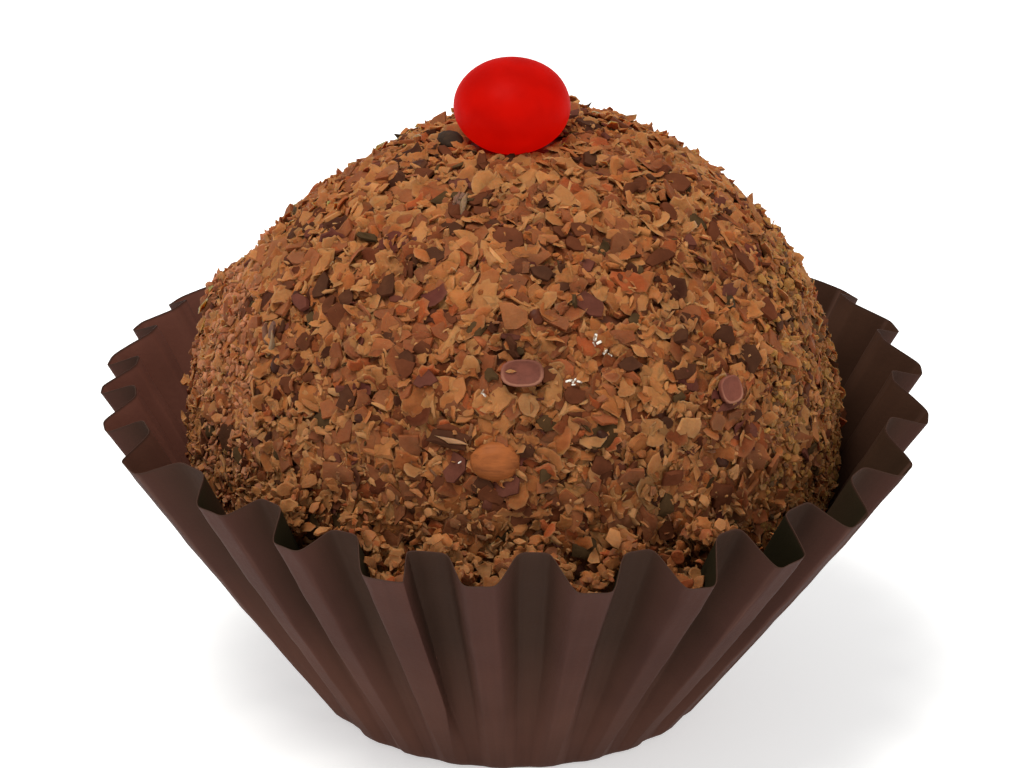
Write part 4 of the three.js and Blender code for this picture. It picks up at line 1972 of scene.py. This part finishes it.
@dataclass(frozen=True)
class SoftBox:
    """A large square lamp that looks at a point."""

    name: str
    place: tuple[float, float, float]
    size: float
    power: float
    colour: Colour = (1.0, 1.0, 1.0)
    aim: tuple[float, float, float] = (0.0, 0.0, 15.0)

    def build(self) -> None:
        """Hangs the lamp."""
        lamp = bpy.data.lights.new(self.name, "AREA")
        lamp.shape = "SQUARE"
        lamp.size = self.size * MM
        lamp.energy = self.power
        lamp.color = self.colour
        holder = bpy.data.objects.new(self.name, lamp)
        bpy.context.scene.collection.objects.link(holder)
        holder.location = Vector(self.place) * MM
        towards = Vector(self.aim) * MM - holder.location
        holder.rotation_euler = towards.to_track_quat("-Z", "Y").to_euler()


@dataclass
class Studio:
    """The camera, the lamps, the surrounding light and the floor."""

    elevation: float = 24.0
    distance: float = 350.0
    aim: tuple[float, float, float] = (0.0, 0.557, 17.55)
    mm_per_pixel: float = 0.0527
    sensor: float = 36.0
    floor_size: float = 1600.0
    floor_drop: float = 0.02
    surround: float = 0.55
    surround_colour: Colour = (1.0, 1.0, 1.0)
    lamps: Sequence[SoftBox] = (
        SoftBox("key_lamp", (-120.0, -110.0, 520.0), 260.0, 2.8, (1.0, 0.99, 0.94)),
        SoftBox("fill_lamp", (420.0, -260.0, 260.0), 320.0, 0.4, (1.0, 0.97, 0.92)),
    )
    finish: FloorFinish = FloorFinish()

    def build(self) -> None:
        """Sets up the whole studio."""
        self._camera()
        self._surround()
        self._floor()
        for lamp in self.lamps:
            lamp.build()
        bpy.context.scene.view_settings.view_transform = "Standard"
        bpy.context.scene.view_settings.look = "None"
        LOG.info("studio: camera, floor and %d lamps", len(self.lamps))

    def _camera(self) -> None:
        """Makes the camera and looks through it."""
        data = bpy.data.cameras.new("camera")
        data.sensor_width = self.sensor
        data.lens = self.sensor * self.distance / (IMAGE_WIDTH * self.mm_per_pixel)
        data.clip_start, data.clip_end = 0.01, 10.0
        camera = bpy.data.objects.new("camera", data)
        bpy.context.scene.collection.objects.link(camera)
        rise = math.radians(self.elevation)
        back = Vector((0.0, -math.cos(rise), math.sin(rise)))
        camera.location = (Vector(self.aim) + back * self.distance) * MM
        camera.rotation_euler = (math.pi / 2.0 - rise, 0.0, 0.0)
        bpy.context.scene.camera = camera

    def _surround(self) -> None:
        """Lights the scene evenly from all round."""
        world = bpy.data.worlds.new("surround")
        bpy.context.scene.world = world
        world.use_nodes = True
        background = world.node_tree.nodes["Background"]
        background.inputs["Color"].default_value = (*self.surround_colour, 1.0)
        background.inputs["Strength"].default_value = self.surround

    def _floor(self) -> None:
        """Lays the floor."""
        shape = bmesh.new()
        bmesh.ops.create_grid(shape, x_segments=8, y_segments=8, size=self.floor_size / 2.0)
        bmesh.ops.translate(shape, verts=shape.verts, vec=(0.0, 0.0, -self.floor_drop))
        mesh = mesh_from_shape(shape, NO_CREASE)
        mesh.materials.append(self.finish.material())
        floor = bpy.data.objects.new("floor", mesh)
        bpy.context.scene.collection.objects.link(floor)


# ---- The whole ---------------------------------------------------------------------------


def main(packed: Mapping[str, Any]) -> None:
    """Builds the studio and every piece.
    """
    logging.basicConfig(level=logging.INFO, format="%(message)s")
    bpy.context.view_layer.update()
    LOG.info("packed nodes: %s", ", ".join(sorted(packed["nodes"])))
    Studio().build()
    case_form, ball_form = CaseForm(), BallForm()
    paper = PaperCase(case_form).build()
    ball = FudgeBall(ball_form, case_form)
    ball.build()
    FlakeCoat(ball, paper).build()
    SugarBall(ball_form).build()


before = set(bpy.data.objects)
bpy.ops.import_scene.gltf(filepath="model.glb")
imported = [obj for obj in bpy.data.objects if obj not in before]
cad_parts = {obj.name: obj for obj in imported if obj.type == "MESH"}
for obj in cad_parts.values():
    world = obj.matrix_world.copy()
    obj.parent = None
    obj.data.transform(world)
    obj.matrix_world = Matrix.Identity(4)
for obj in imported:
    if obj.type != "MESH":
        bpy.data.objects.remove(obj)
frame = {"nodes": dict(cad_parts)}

if __name__ == "__main__":
    main(frame)
